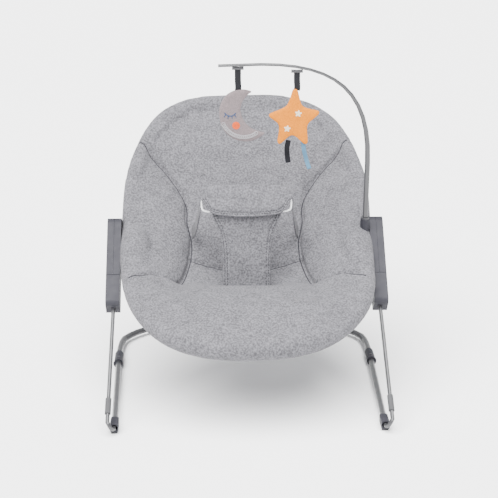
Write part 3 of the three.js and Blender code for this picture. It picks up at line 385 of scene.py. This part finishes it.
# ---- Seat pad --------------------------------------------------------------------------
back_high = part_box("cover_back_sleeve")[1]
front_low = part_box("cover_front_sleeve")[0]
SLEEVE = 0.015  # half the thickness of the CAD sleeves round the hoop
RIM = 0.0165  # radius of the padded rim
HALF = back_high.x - SLEEVE
BACK_Y, BACK_Z = back_high.y - SLEEVE, back_high.z - SLEEVE
LIP_Y, LIP_Z = front_low.y + SLEEVE, front_low.z + SLEEVE
back_slope = (BACK_Z - pivot.z) / (BACK_Y - pivot.y)
front_slope = (pivot.z - LIP_Z) / (pivot.y - LIP_Y)
BACK_START, FRONT_START = pivot.y + 0.036, pivot.y - 0.044
BACK_POWER, FRONT_POWER = 3.3, 2.4  # squareness of the two arches of the outline
FLARE, FLARE_Y, FLARE_REACH = 0.006, 0.105, 0.055  # the outline is a little wider beside the shoulders
SIDE_SHIFT = 0.004  # the filling sits a little to the right on the frame
BRACKET_COVER = 0.011  # how much thicker the rim is where it hides a frame bracket
BRACKET_REACH = 0.055
WING_RISE = 0.0416
PAD_VOXEL = 0.005
CREST_Y, CREST_REACH, CREST_SETTLE = -0.130, 0.050, 0.0065  # the top of the front roll
SEAM_DEPTHS = (0.0060, 0.0060, 0.0045, 0.0045, 0.0035)  # side, side, lower, lower, junction
SEAM_WIDTH, SEAM_ROLL, SEAM_PUCKER = 0.0030, 0.011, 0.0021


def hoop_z(y):
    return pivot.z + np.where(y > pivot.y, back_slope, front_slope) * (y - pivot.y)


def hoop_half(y):
    """Half width of the rim's centre line."""
    y = np.asarray(y, float)
    back = np.clip((y - BACK_START) / (BACK_Y - BACK_START), 0, 1)
    front = np.clip((FRONT_START - y) / (FRONT_START - LIP_Y), 0, 1)
    flare = FLARE * np.exp(-((y - FLARE_Y) / FLARE_REACH) ** 2)
    return (HALF + flare) * (1 - back ** BACK_POWER) ** (1 / BACK_POWER) * (
        1 - front ** FRONT_POWER) ** (1 / FRONT_POWER)


def hoop_line(count):
    """The rim's closed centre line, evenly spaced."""
    points = []
    for k in np.linspace(0, 2 * math.pi, 240, endpoint=False):
        c, s = math.cos(k), math.sin(k)
        power, start, reach = ((BACK_POWER, BACK_START, BACK_Y - BACK_START) if s >= 0
                               else (FRONT_POWER, FRONT_START, FRONT_START - LIP_Y))
        y = start + math.copysign(reach * abs(s) ** (2 / power), s)
        flare = FLARE * math.exp(-((y - FLARE_Y) / FLARE_REACH) ** 2)
        x = (HALF + flare) * math.copysign(abs(c) ** (2 / power), c)
        points.append((x, y, float(hoop_z(y))))
    return spline(points, count, closed=True)


pad_profile = spline([
    (LIP_Y, LIP_Z + RIM), (-0.235, 0.189), (-0.200, 0.202), (-0.165, 0.2105), (-0.130, 0.2125),
    (-0.098, 0.203), (-0.058, 0.183), (-0.024, 0.190), (0.0, 0.201), (0.025, 0.221), (0.060, 0.253),
    (0.105, 0.294), (0.150, 0.334), (0.200, 0.386), (0.235, 0.428), (BACK_Y, BACK_Z + RIM)], 300)


def centre_z(y):
    return np.interp(y, pad_profile[:, 0], pad_profile[:, 1])


side_seam = spline([(0.207, 0.188), (0.176, 0.1685), (0.150, 0.1535), (0.131, 0.138), (0.1165, 0.1215),
                    (0.1085, 0.107), (0.1062, 0.092), (0.1065, 0.077), (0.1025, 0.061),
                    (0.0980, 0.044), (0.0980, 0.025), (0.1005, 0.007), (0.1045, -0.012),
                    (0.109, -0.033), (0.1135, -0.050), (0.1175, -0.061)], 140)
lower_seam = spline([(0.1175, -0.061), (0.128, -0.070), (0.144, -0.0755), (0.165, -0.0770),
                     (0.182, -0.083), (0.197, -0.091), (0.212, -0.101)], 60)


def seam_half(y):
    """How far the side seam is from the middle."""
    order = np.argsort(side_seam[:, 1])
    return np.interp(y, side_seam[order, 1], side_seam[order, 0])


def pad_top(x, y):
    """Height of the padding's upper side: a hollow between rims, with a wing bulging at each side."""
    x, y = np.abs(x), np.asarray(y, float)
    half = np.maximum(hoop_half(y), 1e-4)
    share = np.clip(x / half, 0, 1)
    rim = hoop_z(y) + RIM * 0.9 + 0.9 * BRACKET_COVER * np.exp(-((y - pivot.y) / BRACKET_REACH) ** 2)
    seam = seam_half(y)
    q = np.clip((x - seam) / np.maximum(half - seam, 1e-3), 0, 1)
    strength = smoothstep(y, -0.125, -0.05) * (1 - smoothstep(y, 0.03, 0.165))
    z = centre_z(y) + (rim - centre_z(y)) * share ** (2.6 - 0.7 * strength)
    wing = (1 - (1 - q) ** 2.2) - q ** 1.4
    return z + WING_RISE * strength * np.maximum(wing, 0)


def pad_bottom(x, y):
    """Height of the underside, which hangs between the rims."""
    x, y = np.abs(x), np.asarray(y, float)
    share = np.clip(x / np.maximum(hoop_half(y), 1e-4), 0, 1)
    middle = np.minimum(hoop_z(y) - 0.024, centre_z(y) - 0.026)
    return middle + (hoop_z(y) - 0.012 - middle) * share ** 3


def seat_pad():
    """Upper and lower side and the padded rim, remeshed into one closed piece."""
    rows, columns = 120, 91
    ys = LIP_Y + 0.0005 + (BACK_Y - LIP_Y - 0.001) * (0.5 - 0.5 * np.cos(np.linspace(0, math.pi, rows)))
    us = np.linspace(-1, 1, columns)
    y, u = np.meshgrid(ys, us, indexing="ij")
    x = u * hoop_half(y)
    top = np.stack([x, y, pad_top(x, y)], -1).reshape(-1, 3)
    bottom = np.stack([x, y, pad_bottom(x, y)], -1).reshape(-1, 3)
    count = rows * columns
    faces = grid_faces(rows, columns)
    under = [tuple(i + count for i in reversed(f)) for f in faces]
    edge = ([c for c in range(columns)] + [r * columns + columns - 1 for r in range(1, rows)]
            + [(rows - 1) * columns + c for c in range(columns - 2, -1, -1)]
            + [r * columns for r in range(rows - 2, 0, -1)])
    wall = [(b, a, a + count, b + count) for a, b in zip(edge, edge[1:] + edge[:1])]
    sheet = (np.concatenate([top, bottom]), faces + under + wall)
    line = hoop_line(220)
    extra = BRACKET_COVER * np.exp(-((line[:, 1] - pivot.y) / BRACKET_REACH) ** 2)
    extra *= np.abs(line[:, 0]) > 0.1
    line[:, 0] -= np.sign(line[:, 0]) * extra
    line[:, 2] += extra * 0.6
    lip = 0.0045 * (1 - smoothstep(line[:, 1], -0.27, -0.17))
    line[:, 2] -= lip * 0.75
    head = 0.0030 * smoothstep(line[:, 1], 0.20, 0.26)
    rim = tube(line, RIM + extra + lip + head, sides=18, closed=True)
    pad = make("seat_pad", *gather([sheet, rim]), material=fabric)
    baked(pad, "REMESH", mode="VOXEL", voxel_size=PAD_VOXEL)
    baked(pad, "SMOOTH", factor=0.5, iterations=9)
    return pad


seat_pad_object = seat_pad()


def mirrored(line):
    return line * np.array([-1, 1])


junction_seam = np.array([(x, 0.0035 + 0.0060 * (x / 0.1) ** 2) for x in np.linspace(-0.100, 0.100, 40)])
seams = [side_seam, mirrored(side_seam), lower_seam, mirrored(lower_seam), junction_seam]


def near_seams(co):
    """Distance from each point to its nearest seam, seen from above."""
    best = np.full(len(co), 1.0)
    for line in seams:
        best = np.minimum(best, distance_to(co[:, :2], line)[0])
    return best


def shape_seat(pad):
    """Fills the pad, then presses in its seams and lets the cloth wander a little."""
    co = coordinates(pad)
    by_hub = np.exp(-((co[:, 1] - pivot.y) / 0.075) ** 2) * np.where(co[:, 0] < 0, -1.9, 0.5)
    co[:, 0] += SIDE_SHIFT * np.minimum(np.abs(co[:, 0]) / HALF, 1) ** 3 * (1 + by_hub)
    move_to(pad, co)
    upper = normals(pad)[:, 2] > 0.05
    gap = near_seams(co)
    pinned = np.where(upper, 1 - smoothstep(gap, 0.003, 0.010), 1.0)
    rim_gap = distance_to(co[:, :2], np.vstack([hoop_line(120)[:, :2], hoop_line(120)[:1, :2]]))[0]
    outer = np.abs(co[:, 0]) > hoop_half(co[:, 1])
    outer |= (co[:, 1] > BACK_Y - 0.001) | (co[:, 1] < LIP_Y + 0.001)
    pinned = np.maximum(pinned, np.where(outer & (rim_gap > 0.002), 0.9, 0))
    puff(pad, 4.0, 0.009, pinned)
    baked(pad, "SMOOTH", factor=0.5, iterations=2)
    baked(pad, "SUBSURF", levels=1)
    co = coordinates(pad)
    # The front roll fills upwards as it is puffed, so its crest is settled back down.
    settle = np.exp(-((co[:, 1] - CREST_Y) / CREST_REACH) ** 2)
    settle *= 1 - smoothstep(np.abs(co[:, 0]), 0.110, 0.180)
    co[:, 2] -= CREST_SETTLE * settle * smoothstep(normals(pad)[:, 2], 0.0, 0.5)
    move_to(pad, co)
    direction = normals(pad)
    upper = smoothstep(direction[:, 2], -0.1, 0.25)
    depth = np.zeros(len(co))
    for k, (line, deep) in enumerate(zip(seams, SEAM_DEPTHS)):
        gap, along = distance_to(co[:, :2], line)
        end = np.linalg.norm(np.diff(line, axis=0), axis=1).sum()
        fade = smoothstep(end - along, 0, 0.012) if k < 2 else 1.0
        at_rim = smoothstep(np.abs(co[:, 0]), hoop_half(co[:, 1]) - 0.030, hoop_half(co[:, 1]) + 0.004)
        sunk = deep * (1 - 0.92 * at_rim)
        depth -= sunk * (np.exp(-(gap / SEAM_WIDTH) ** 2) + 0.3 * np.exp(-(gap / SEAM_ROLL) ** 2))
        pucker = np.array([noise.noise(Vector((a * 95, k * 3.1, 0))) for a in along])
        reach = np.exp(-gap / SEAM_ROLL) * (1 - np.exp(-gap / 0.002)) * fade
        depth += SEAM_PUCKER * pucker * reach
    slow = wander(co, 11.0)
    finer = wander(co, 34.0, 4.0)
    depth += 0.0016 * slow + 0.0006 * finer
    move_to(pad, co + direction * (depth * upper)[:, None])
    return pad


shape_seat(seat_pad_object)
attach(seat_pad_object, "seat")
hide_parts("cover_back_sleeve", "cover_front_sleeve", "cover_back_panel",
            "left_cover_side_panel", "right_cover_side_panel", "cover_front_panel", "cover_underside")


# ---- Soft pieces ------------------------------------------------------------------------
def surface_of(obj):
    return BVHTree.FromPolygons([tuple(v.co) for v in obj.data.vertices],
                                [tuple(p.vertices) for p in obj.data.polygons])


def laid_on(tree, line, direction, lift=0.0, far=0.3):
    """The line dropped on a surface along a direction."""
    direction = Vector(direction).normalized()
    found = []
    for point in line:
        hit = tree.ray_cast(Vector(point) - direction * far, direction, 2 * far)
        if hit[0] is not None:
            found.append(np.array(hit[0] + hit[1] * lift))
    return np.array(found)


def stitch_parts(line, length=0.0034, gap=0.0014, radius=0.00065):
    """A row of stitches along a line, sunk half into the cloth."""
    line = spline(line, max(8, int(np.linalg.norm(np.diff(line, axis=0), axis=1).sum() / 0.0008)))
    steps = np.r_[0, np.cumsum(np.linalg.norm(np.diff(line, axis=0), axis=1))]
    parts = []
    start = 0.0
    while start + length < steps[-1]:
        at = np.linspace(start, start + length, 4)
        points = np.stack([np.interp(at, steps, line[:, k]) for k in range(3)], 1)
        parts.append(tube(points, [radius * 0.5, radius, radius, radius * 0.5], sides=5))
        start += length + gap
    return parts


def slab(name, outline, thickness, place, material):
    """A flat closed piece cut to an outline, before it is rounded and filled."""
    outline = np.array(outline, float)
    count = len(outline)
    verts = [place(x, h, thickness / 2) for x, h in outline] + [place(x, h, -thickness / 2)
                                                               for x, h in outline]
    faces = [tuple(range(count)), tuple(reversed(range(count, 2 * count)))]
    faces += [(k, k + count, (k + 1) % count + count, (k + 1) % count) for k in range(count)]
    return make(name, verts, faces, material=material)


def soften(obj, voxel, rounds):
    """Remeshes a piece evenly and rounds its edges."""
    baked(obj, "REMESH", mode="VOXEL", voxel_size=voxel)
    baked(obj, "SMOOTH", factor=0.5, iterations=rounds)
    return obj


def groove(obj, lines, deep, wide, direction, wrinkle=0.0):
    """Presses sewn lines into the side of a pad that faces a direction."""
    co = coordinates(obj)
    turned = normals(obj)
    facing = smoothstep(turned @ np.array(direction), 0.1, 0.5)
    depth = np.zeros(len(co))
    for k, line in enumerate(lines):
        gap, along = distance_to(co, line)
        depth -= deep * np.exp(-(gap / wide) ** 2)
        if wrinkle:
            pucker = np.array([noise.noise(Vector((a * 130, k * 5.3, 2))) for a in along])
            depth += wrinkle * pucker * np.exp(-gap / (3 * wide))
    move_to(obj, co + turned * (depth * facing)[:, None])


def inset(outline, by):
    """A closed outline moved inwards."""
    outline = np.array(outline, float)
    along = np.roll(outline, -1, 0) - np.roll(outline, 1, 0)
    along /= np.linalg.norm(along, axis=1)[:, None]
    area = np.sum(outline[:, 0] * np.roll(outline[:, 1], -1) - np.roll(outline[:, 0], -1) * outline[:, 1])
    return outline + np.sign(area) * by * np.stack([-along[:, 1], along[:, 0]], 1)


def crumple(obj, amount, scale, seed):
    """Moves the surface in and out by smooth noise."""
    co = coordinates(obj)
    move_to(obj, co + normals(obj) * (amount * wander(co, scale, seed))[:, None])


# ---- Seat seams -------------------------------------------------------------------------
seat_tree = surface_of(seat_pad_object)


def seam_shade_line(name, line, lift=0.0, radius=0.0012):
    """A dark tube laid on the seat along a seam, as painted shade for the seam's crease."""
    path = laid_on(seat_tree, [(x, y, 0.4) for x, y in line], (0, 0, -1), lift)
    path = spline(path, 90)
    verts, faces = tube(path, radius, sides=6)
    return make(name, verts, faces, "seat", seam_shade, "heather_fabric")


# Painted shade: dark tubes along each seam stand in for the shade in the seams' creases.
for side, flip in (("left", -1), ("right", 1)):
    factor = np.array([flip, 1])
    seam_shade_line(f"{side}_side_seam", (side_seam * factor)[6:])
    seam_shade_line(f"{side}_lower_seam", (lower_seam * factor)[:-3])
seam_shade_line("seat_back_seam", junction_seam, radius=0.0010)

# ---- Crotch panel, flap, rings and waist straps --------------------------------------------
crotch_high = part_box("crotch_panel")[1]
flap_low, flap_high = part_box("restraint_flap")
LEAN = math.radians(8)
fold = Vector(joints["restraint_fold"]["pos_m"])


def on_restraint(x, h, d):
    """A point across, up and forward of the restraint's own plane."""
    return (x, fold.y + math.sin(LEAN) * h - math.cos(LEAN) * d,
            fold.z + math.cos(LEAN) * h + math.sin(LEAN) * d)


RESTRAINT_FRONT = (0, -math.cos(LEAN), math.sin(LEAN))
CROTCH_THICK = 0.010
crotch_top = (crotch_high.z - fold.z) / math.cos(LEAN)
flap_base = (flap_low.z - fold.z) / math.cos(LEAN) - 0.001
crotch_edge = spline([(0.0430, -0.016), (0.0430, 0.035), (0.0438, 0.062), (0.0465, 0.086),
                      (0.0515, 0.104), (0.0580, 0.117), (0.0625, 0.130), (0.0615, 0.150),
                      (0.0585, crotch_top - 0.006)], 60)
crotch_outline = np.vstack([crotch_edge, (crotch_edge * np.array([-1, 1]))[::-1]])
crotch = slab("crotch_pad", crotch_outline, CROTCH_THICK * 0.72,
              lambda x, h, d: on_restraint(x, h, d + CROTCH_THICK / 2), fabric)
soften(crotch, 0.003, 6)
crotch_co = coordinates(crotch)
flat_x = np.abs(crotch_co[:, 0])
edge_at = np.interp((crotch_co[:, 2] - fold.z) / math.cos(LEAN), crotch_edge[:, 1], crotch_edge[:, 0])
puff(crotch, 4.0, 0.003, smoothstep(flat_x, edge_at - 0.008, edge_at - 0.005))
baked(crotch, "SUBSURF", levels=1)
hems = []
for by in (0.0042, 0.0088):
    hem = crotch_edge[:-6] - np.array([by, 0])
    for flip in (1, -1):
        hems.append(np.array([on_restraint(flip * x, h, CROTCH_THICK) for x, h in hem]))
groove(crotch, hems, 0.0016, 0.0014, RESTRAINT_FRONT, 0.0008)
crumple(crotch, 0.0008, 30, 2.0)
crotch_tree = surface_of(crotch)
back_way = tuple(-c for c in RESTRAINT_FRONT)
crotch_stitches = make("crotch_stitches", *gather([p for hem in hems for p in stitch_parts(
    laid_on(crotch_tree, hem, back_way, 0.0001))]), material=thread_and_shade)
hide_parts("crotch_panel")
for piece in (crotch, crotch_stitches):
    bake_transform(piece)

half_flap = (flap_high.x - flap_low.x) / 2
flap_tall = (flap_high.z - flap_low.z) / math.cos(LEAN) - 0.001
flap_side = [(0.020, 0.0), (0.040, 0.0010), (0.056, 0.0035), (0.0675, 0.0105), (0.0735, 0.021),
             (0.0815, 0.0310), (0.0880, 0.0385), (0.0800, 0.0450), (0.0640, 0.0525), (0.040, 0.0550),
             (0.020, 0.0556)]
flap_points = [(x * half_flap / 0.0800, h * flap_tall / 0.0537) for x, h in flap_side]
flap_outline = spline(flap_points + [(-x, h) for x, h in reversed(flap_points)], 120, closed=True)


def on_flap(x, h, d):
    drop = 0.9 * x ** 2 + 0.010 * smoothstep(h, 0.35 * flap_tall, 1.1 * flap_tall)
    return on_restraint(x, flap_base + h, CROTCH_THICK + 0.0085 + d - drop)


flap = slab("flap_pad", flap_outline, 0.0085, on_flap, fabric)
soften(flap, 0.003, 5)
flap_co = coordinates(flap)
rim_line = np.array([on_flap(x, h, 0) for x, h in np.vstack([flap_outline, flap_outline[:1]])])
rim_gap = distance_to(flap_co, rim_line)[0]
puff(flap, 5.0, 0.0070, 1 - smoothstep(rim_gap, 0.005, 0.009))
baked(flap, "SUBSURF", levels=1)
flap_hems = []
for by in (0.0045, 0.0080):
    shrunk = inset(flap_outline, by)
    keep = shrunk[shrunk[:, 1] < 0.62 * flap_tall]
    keep = keep[np.argsort(keep[:, 0])]
    flap_hems.append(np.array([on_flap(x, h, 0.004) for x, h in keep]))
groove(flap, flap_hems, 0.0018, 0.0015, RESTRAINT_FRONT, 0.0008)
crumple(flap, 0.0007, 35, 5.0)
flap_tree = surface_of(flap)
make("flap_stitches", *gather([p for hem in flap_hems for p in stitch_parts(
    laid_on(flap_tree, hem, back_way, 0.0001))]), "flap", thread_and_shade, "heather_fabric")
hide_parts("restraint_flap")
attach(flap, "flap")

for side, flip in (("left", -1), ("right", 1)):
    ring_low, ring_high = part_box(f"{side}_belt_ring")
    middle = (ring_low + ring_high) / 2
    inner, outer = ((ring_low.x, ring_high.x) if flip > 0 else (ring_high.x, ring_low.x))
    wire = 0.0017
    tall = (ring_high.z - ring_low.z) / 2 - wire
    h_mid = (middle.z - fold.z) / math.cos(LEAN)
    across = [(inner + flip * wire, -0.72), (inner + flip * wire, 0.72), (inner + flip * 0.005, 1.0),
              (outer - flip * 0.004, 0.80), (outer - flip * wire, 0.35), (outer - flip * wire, -0.35),
              (outer - flip * 0.004, -0.80), (inner + flip * 0.005, -1.0)]
    path = spline([on_restraint(x, h_mid + v * tall, CROTCH_THICK / 2) for x, v in across], 48, closed=True)
    ring = make(f"{side}_d_ring", *tube(path, wire, sides=10, closed=True), "restraint", ring_plastic,
                "ring_plastic")
    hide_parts(f"{side}_belt_ring")

    strap_low, strap_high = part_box(f"{side}_waist_strap")
    x0, x1 = ((strap_low.x, strap_high.x) if flip > 0 else (strap_high.x, strap_low.x))
    start = np.array([x0 + flip * 0.001, strap_low.y + 0.006, strap_high.z - 0.016])
    end = np.array([x1 - flip * 0.001, strap_high.y - 0.008, strap_low.z + 0.010])
    bend = (start + end) / 2 + np.array([0, -0.004, -0.010])
    path = spline([start, bend, end], 30)
    rings = []
    for k, point in enumerate(path):
        along = path[min(k + 1, len(path) - 1)] - path[max(k - 1, 0)]
        along /= np.linalg.norm(along)
        across_strap = np.cross(along, np.array([1.0, 0, 0]))
        across_strap /= np.linalg.norm(across_strap)
        out_way = np.cross(across_strap, along)
        share = k / (len(path) - 1)
        half_width = 0.0125 + 0.001 * math.sin(share * 3)
        thick = 0.0016
        ring_points = []
        for a in np.linspace(0, 2 * math.pi, 20, endpoint=False):
            w = math.copysign(abs(math.cos(a)) ** 0.35, math.cos(a)) * half_width
            t = math.sin(a) * thick
            ring_points.append(point + across_strap * w + out_way * t)
        rings.append(ring_points)
    strap = make(f"{side}_waist_band", *loft(rings), material=fabric)
    crumple(strap, 0.0006, 60, 3.0)
    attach(strap, "seat")
    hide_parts(f"{side}_waist_strap")

# ---- Toys --------------------------------------------------------------------------------
moon_low, moon_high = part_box("moon_toy")
star_low, star_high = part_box("star_toy")
MOON_RADIUS = (moon_high.z - moon_low.z) / 2 + 0.0012
TOY_VOXEL = 0.0022
TRIM_INSET, TRIM_LOOP = 0.0050, 0.0030
moon_x, moon_z = moon_low.x + MOON_RADIUS, (moon_low.z + moon_high.z) / 2
moon_y = (moon_low.y + moon_high.y) / 2
star_x, star_z = (star_low.x + star_high.x) / 2 - 0.003, (star_low.z + star_high.z) / 2 - 0.001
star_y = (star_low.y + star_high.y) / 2


def on_moon(x, z, d):
    return (moon_x + x, moon_y - d, moon_z + z)


def on_star(x, z, d):
    return (star_x + x, star_y - d, star_z + z)


moon_outline = spline([(0.0175, 0.0400), (0.0085, 0.0440), (-0.0010, 0.0452), (-0.0160, 0.0435),
                       (-0.0300, 0.0365), (-0.0400, 0.0240), (-0.0443, 0.0080), (-0.0430, -0.0100),
                       (-0.0375, -0.0260), (-0.0280, -0.0380), (-0.0124, -0.0468), (0.0060, -0.0495),
                       (0.0220, -0.0460), (0.0335, -0.0385), (0.0410, -0.0325), (0.0370, -0.0305),
                       (0.0280, -0.0300), (0.0191, -0.0270), (0.0100, -0.0215), (0.0034, -0.0146),
                       (-0.0025, -0.0040), (-0.0048, 0.0074), (-0.0030, 0.0200), (0.0030, 0.0300),
                       (0.0105, 0.0365)], 140, closed=True)
moon = slab("moon_plush", inset(moon_outline, 0.0018), 0.011, on_moon, moon_cloth)
soften(moon, TOY_VOXEL, 7)
moon_line = np.array([on_moon(x, z, 0) for x, z in np.vstack([moon_outline, moon_outline[:1]])])
edge_gap = distance_to(coordinates(moon), moon_line)[0]
puff(moon, 5.0, 0.0065, 1 - smoothstep(edge_gap, 0.0035, 0.006))
baked(moon, "SUBSURF", levels=1)
crumple(moon, 0.0007, 45, 7.0)
TOY_BACK = (0, 1, 0)


def toy_line(tree, points, place, lift, count=30):
    """A drawn line laid on the front of a toy."""
    flat = spline(points, count)
    return laid_on(tree, [place(x, z, 0.05) for x, z in flat], TOY_BACK, lift, far=0.1)


moon_tree = surface_of(moon)
lashes = [tube(toy_line(moon_tree, [(-0.0335, 0.0040), (-0.0290, -0.0002), (-0.0235, -0.0018),
                                    (-0.0180, -0.0004), (-0.0140, 0.0036)], on_moon, 0.0003), 0.0008, 6)]
for x, z, lean in ((-0.0315, 0.0012, -0.0025), (-0.0265, -0.0016, -0.0013), (-0.0210, -0.0014, 0.0010),
                   (-0.0160, 0.0008, 0.0026)):
    lashes.append(tube(toy_line(moon_tree, [(x, z), (x + lean, z - 0.0048)], on_moon, 0.0003, 8), 0.0007, 6))
lashes_piece = make("moon_lashes", *gather(lashes), material=moon_blue)
cheek = []
for share in (0.0015, 0.0030, 0.0045, 0.0058):
    circle = [(-0.0135 + share * math.cos(a), -0.0185 + share * math.sin(a))
              for a in np.linspace(0, 2 * math.pi, 28)]
    cheek.append(tube(toy_line(moon_tree, circle, on_moon, 0.0001, 36), 0.0009, 6))
cheek_piece = make("moon_cheek", *gather(cheek), material=moon_cheek)
trim = []
for a in np.radians(np.linspace(205, 308, 22)):
    r = MOON_RADIUS - TRIM_INSET
    loop = [((r + TRIM_LOOP * math.cos(b)) * math.cos(a) - TRIM_LOOP * math.sin(b) * math.sin(a),
             (r + TRIM_LOOP * math.cos(b)) * math.sin(a) + TRIM_LOOP * math.sin(b) * math.cos(a))
            for b in np.linspace(0, 2 * math.pi, 14)]
    laid = toy_line(moon_tree, loop, on_moon, 0.0003, 16)
    if len(laid) > 12:
        trim.append(tube(laid, 0.0007, 5))
trim_piece = make("moon_trim", *gather(trim), material=moon_trim)
for piece in (moon, lashes_piece, cheek_piece, trim_piece):
    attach(piece, "moon")
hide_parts("moon_toy")

star_corners = [(-0.0022, 0.0530), (0.0078, 0.0525), (0.0165, 0.0212), (0.0475, 0.0140), (0.0465, 0.0065),
                (0.0252, -0.0118), (0.0275, -0.0445), (0.0200, -0.0485), (-0.0020, -0.0300),
                (-0.0232, -0.0475), (-0.0292, -0.0430), (-0.0252, -0.0108), (-0.0450, 0.0030),
                (-0.0440, 0.0090), (-0.0120, 0.0220)]


def rounded(corners, count, softness):
    """A closed outline through cut corners."""
    points = []
    for k, corner in enumerate(corners):
        before, after = np.array(corners[k - 1]), np.array(corners[(k + 1) % len(corners)])
        corner = np.array(corner)
        for a in (before, after):
            points.append(corner + (a - corner) * softness)
    return spline(points, count, closed=True)


star_outline = rounded(star_corners, 150, 0.16)
star = slab("star_plush", inset(star_outline, 0.0015), 0.012, on_star, star_cloth)
soften(star, TOY_VOXEL, 6)
star_line = np.array([on_star(x, z, 0) for x, z in np.vstack([star_outline, star_outline[:1]])])
edge_gap = distance_to(coordinates(star), star_line)[0]
puff(star, 6.0, 0.0085, 1 - smoothstep(edge_gap, 0.0035, 0.006))
baked(star, "SUBSURF", levels=1)
crumple(star, 0.0009, 40, 11.0)
star_tree = surface_of(star)
marks = []
for cx, cz, size in ((0.0085, 0.0090, 0.0058), (-0.0105, -0.0175, 0.0056)):
    for scale in (1.0, 0.62, 0.28):
        corners = [(cx + size * scale * (1 if k % 2 == 0 else 0.45) * math.sin(math.pi * k / 5 + 0.15),
                    cz + size * scale * (1 if k % 2 == 0 else 0.45) * math.cos(math.pi * k / 5 + 0.15))
                   for k in range(10)]
        marks.append(tube(toy_line(star_tree, corners + corners[:1], on_star, 0.0001, 44), 0.0009, 5))
marks_piece = make("star_embroidery", *gather(marks), material=star_white)
for piece in (star, marks_piece):
    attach(piece, "star")
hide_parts("star_toy")


def tape(name, path, width, thick, material, across=(1, 0, 0)):
    """A ribbon or strap along a path, with rounded edges."""
    path = np.array(path, float)
    rings = []
    for k, point in enumerate(path):
        along = path[min(k + 1, len(path) - 1)] - path[max(k - 1, 0)]
        along /= np.linalg.norm(along)
        side = np.array(across, float)
        side -= along * (side @ along)
        side /= np.linalg.norm(side)
        out_way = np.cross(along, side)
        rings.append([point + side * width / 2 * math.copysign(abs(math.cos(a)) ** 0.3, math.cos(a))
                      + out_way * thick / 2 * math.sin(a)
                      for a in np.linspace(0, 2 * math.pi, 12, endpoint=False)])
    return make(name, *loft(rings), material=material)


for toy in ("moon", "star"):
    low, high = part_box(f"{toy}_strap")
    loop_low, loop_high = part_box(f"{toy}_loop")
    x, y = (low.x + high.x) / 2, (low.y + high.y) / 2
    loop_y = (loop_low.y + loop_high.y) / 2
    path = spline([(x, loop_y, loop_high.z - 0.003), (x, y - 0.0005, (low.z + high.z) / 2 + 0.004),
                   (x + 0.0006, y, low.z + 0.004), (x, y, low.z - 0.003)], 24)
    strap = tape(f"{toy}_hanging_strap", path, high.x - low.x, 0.0017, webbing)
    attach(strap, f"{toy}_link")
    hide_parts(f"{toy}_strap")
    wide = (loop_high.x - loop_low.x) / 2
    loop_path = spline([(x - wide + 0.001, loop_y, loop_high.z - 0.0022), (x, loop_y, loop_high.z - 0.0026),
                        (x + wide - 0.001, loop_y, loop_high.z - 0.0022)], 16)
    hanger = tape(f"{toy}_hanger", loop_path, 0.0056, 0.0050, dark_plastic, across=(0, 0, 1))
    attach(hanger, "bar")
    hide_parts(f"{toy}_loop")

low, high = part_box("star_black_ribbon")
x, y = (low.x + high.x) / 2, (low.y + high.y) / 2
black = tape("black_tag", spline([(x + 0.003, y, high.z + 0.010), (x + 0.0005, y - 0.001, high.z - 0.004),
                                  (x + 0.0015, y + 0.002, low.z + 0.010), (x + 0.003, y, low.z)], 26),
             0.0090, 0.0009, black_ribbon)
low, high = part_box("star_blue_ribbon")
x, y = (low.x + high.x) / 2, (low.y + high.y) / 2
blue = tape("blue_tag", spline([(x - 0.005, y, high.z + 0.010), (x - 0.004, y - 0.001, high.z - 0.006),
                                (x + 0.001, y + 0.002, low.z + 0.012), (x + 0.006, y - 0.002, low.z - 0.003)],
                               28), 0.0075, 0.0009, blue_ribbon)
for piece, slot_name in ((black, "black_ribbon"), (blue, "blue_ribbon")):
    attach(piece, "star")
    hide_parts(f"star_{slot_name}")


# ---- Floor, light and camera --------------------------------------------------------------
FLOOR_REACH = 20
WORLD_STRENGTH = 1.0
KEY_STRENGTH, KEY_SPREAD, KEY_DIRECTION = 14.5, math.radians(70), (0.15, 0.42, -0.90)
CAMERA_PLACE, CAMERA_LENS, SENSOR_WIDTH = (-0.0722, -2.6304, 1.0248), 109.8, 36
PITCH, YAW = math.radians(16.5), math.radians(1.7)

floor_material = hard_material("studio_floor", (0.96, 0.96, 0.96), rough=0.9, contrast=0.004)
floor_corners = [(x * FLOOR_REACH, y * FLOOR_REACH, 0) for x, y in ((-1, -1), (1, -1), (1, 1), (-1, 1))]
floor = make("studio_floor", floor_corners, [(0, 1, 2, 3)], material=floor_material, smooth=False)

world = bpy.data.worlds.new("studio")
scene.world = world
world.use_nodes = True
world.node_tree.nodes["Background"].inputs["Color"].default_value = (0.97, 0.98, 1.0, 1)
world.node_tree.nodes["Background"].inputs["Strength"].default_value = WORLD_STRENGTH

key_data = bpy.data.lights.new("key", "SUN")
key_data.energy, key_data.angle = KEY_STRENGTH, KEY_SPREAD
key = bpy.data.objects.new("key", key_data)
key.rotation_mode = "QUATERNION"
key.rotation_quaternion = Vector(KEY_DIRECTION).to_track_quat("-Z", "Y")
scene.collection.objects.link(key)

forward = Vector((math.sin(YAW) * math.cos(PITCH), math.cos(YAW) * math.cos(PITCH), -math.sin(PITCH)))
camera_data = bpy.data.cameras.new("camera")
camera_data.sensor_width = SENSOR_WIDTH
camera_data.lens = CAMERA_LENS
camera_data.clip_start, camera_data.clip_end = 0.1, 60
camera = bpy.data.objects.new("camera", camera_data)
camera.location = CAMERA_PLACE
camera.rotation_mode = "QUATERNION"
camera.rotation_quaternion = forward.to_track_quat("-Z", "Y")
scene.collection.objects.link(camera)
scene.camera = camera
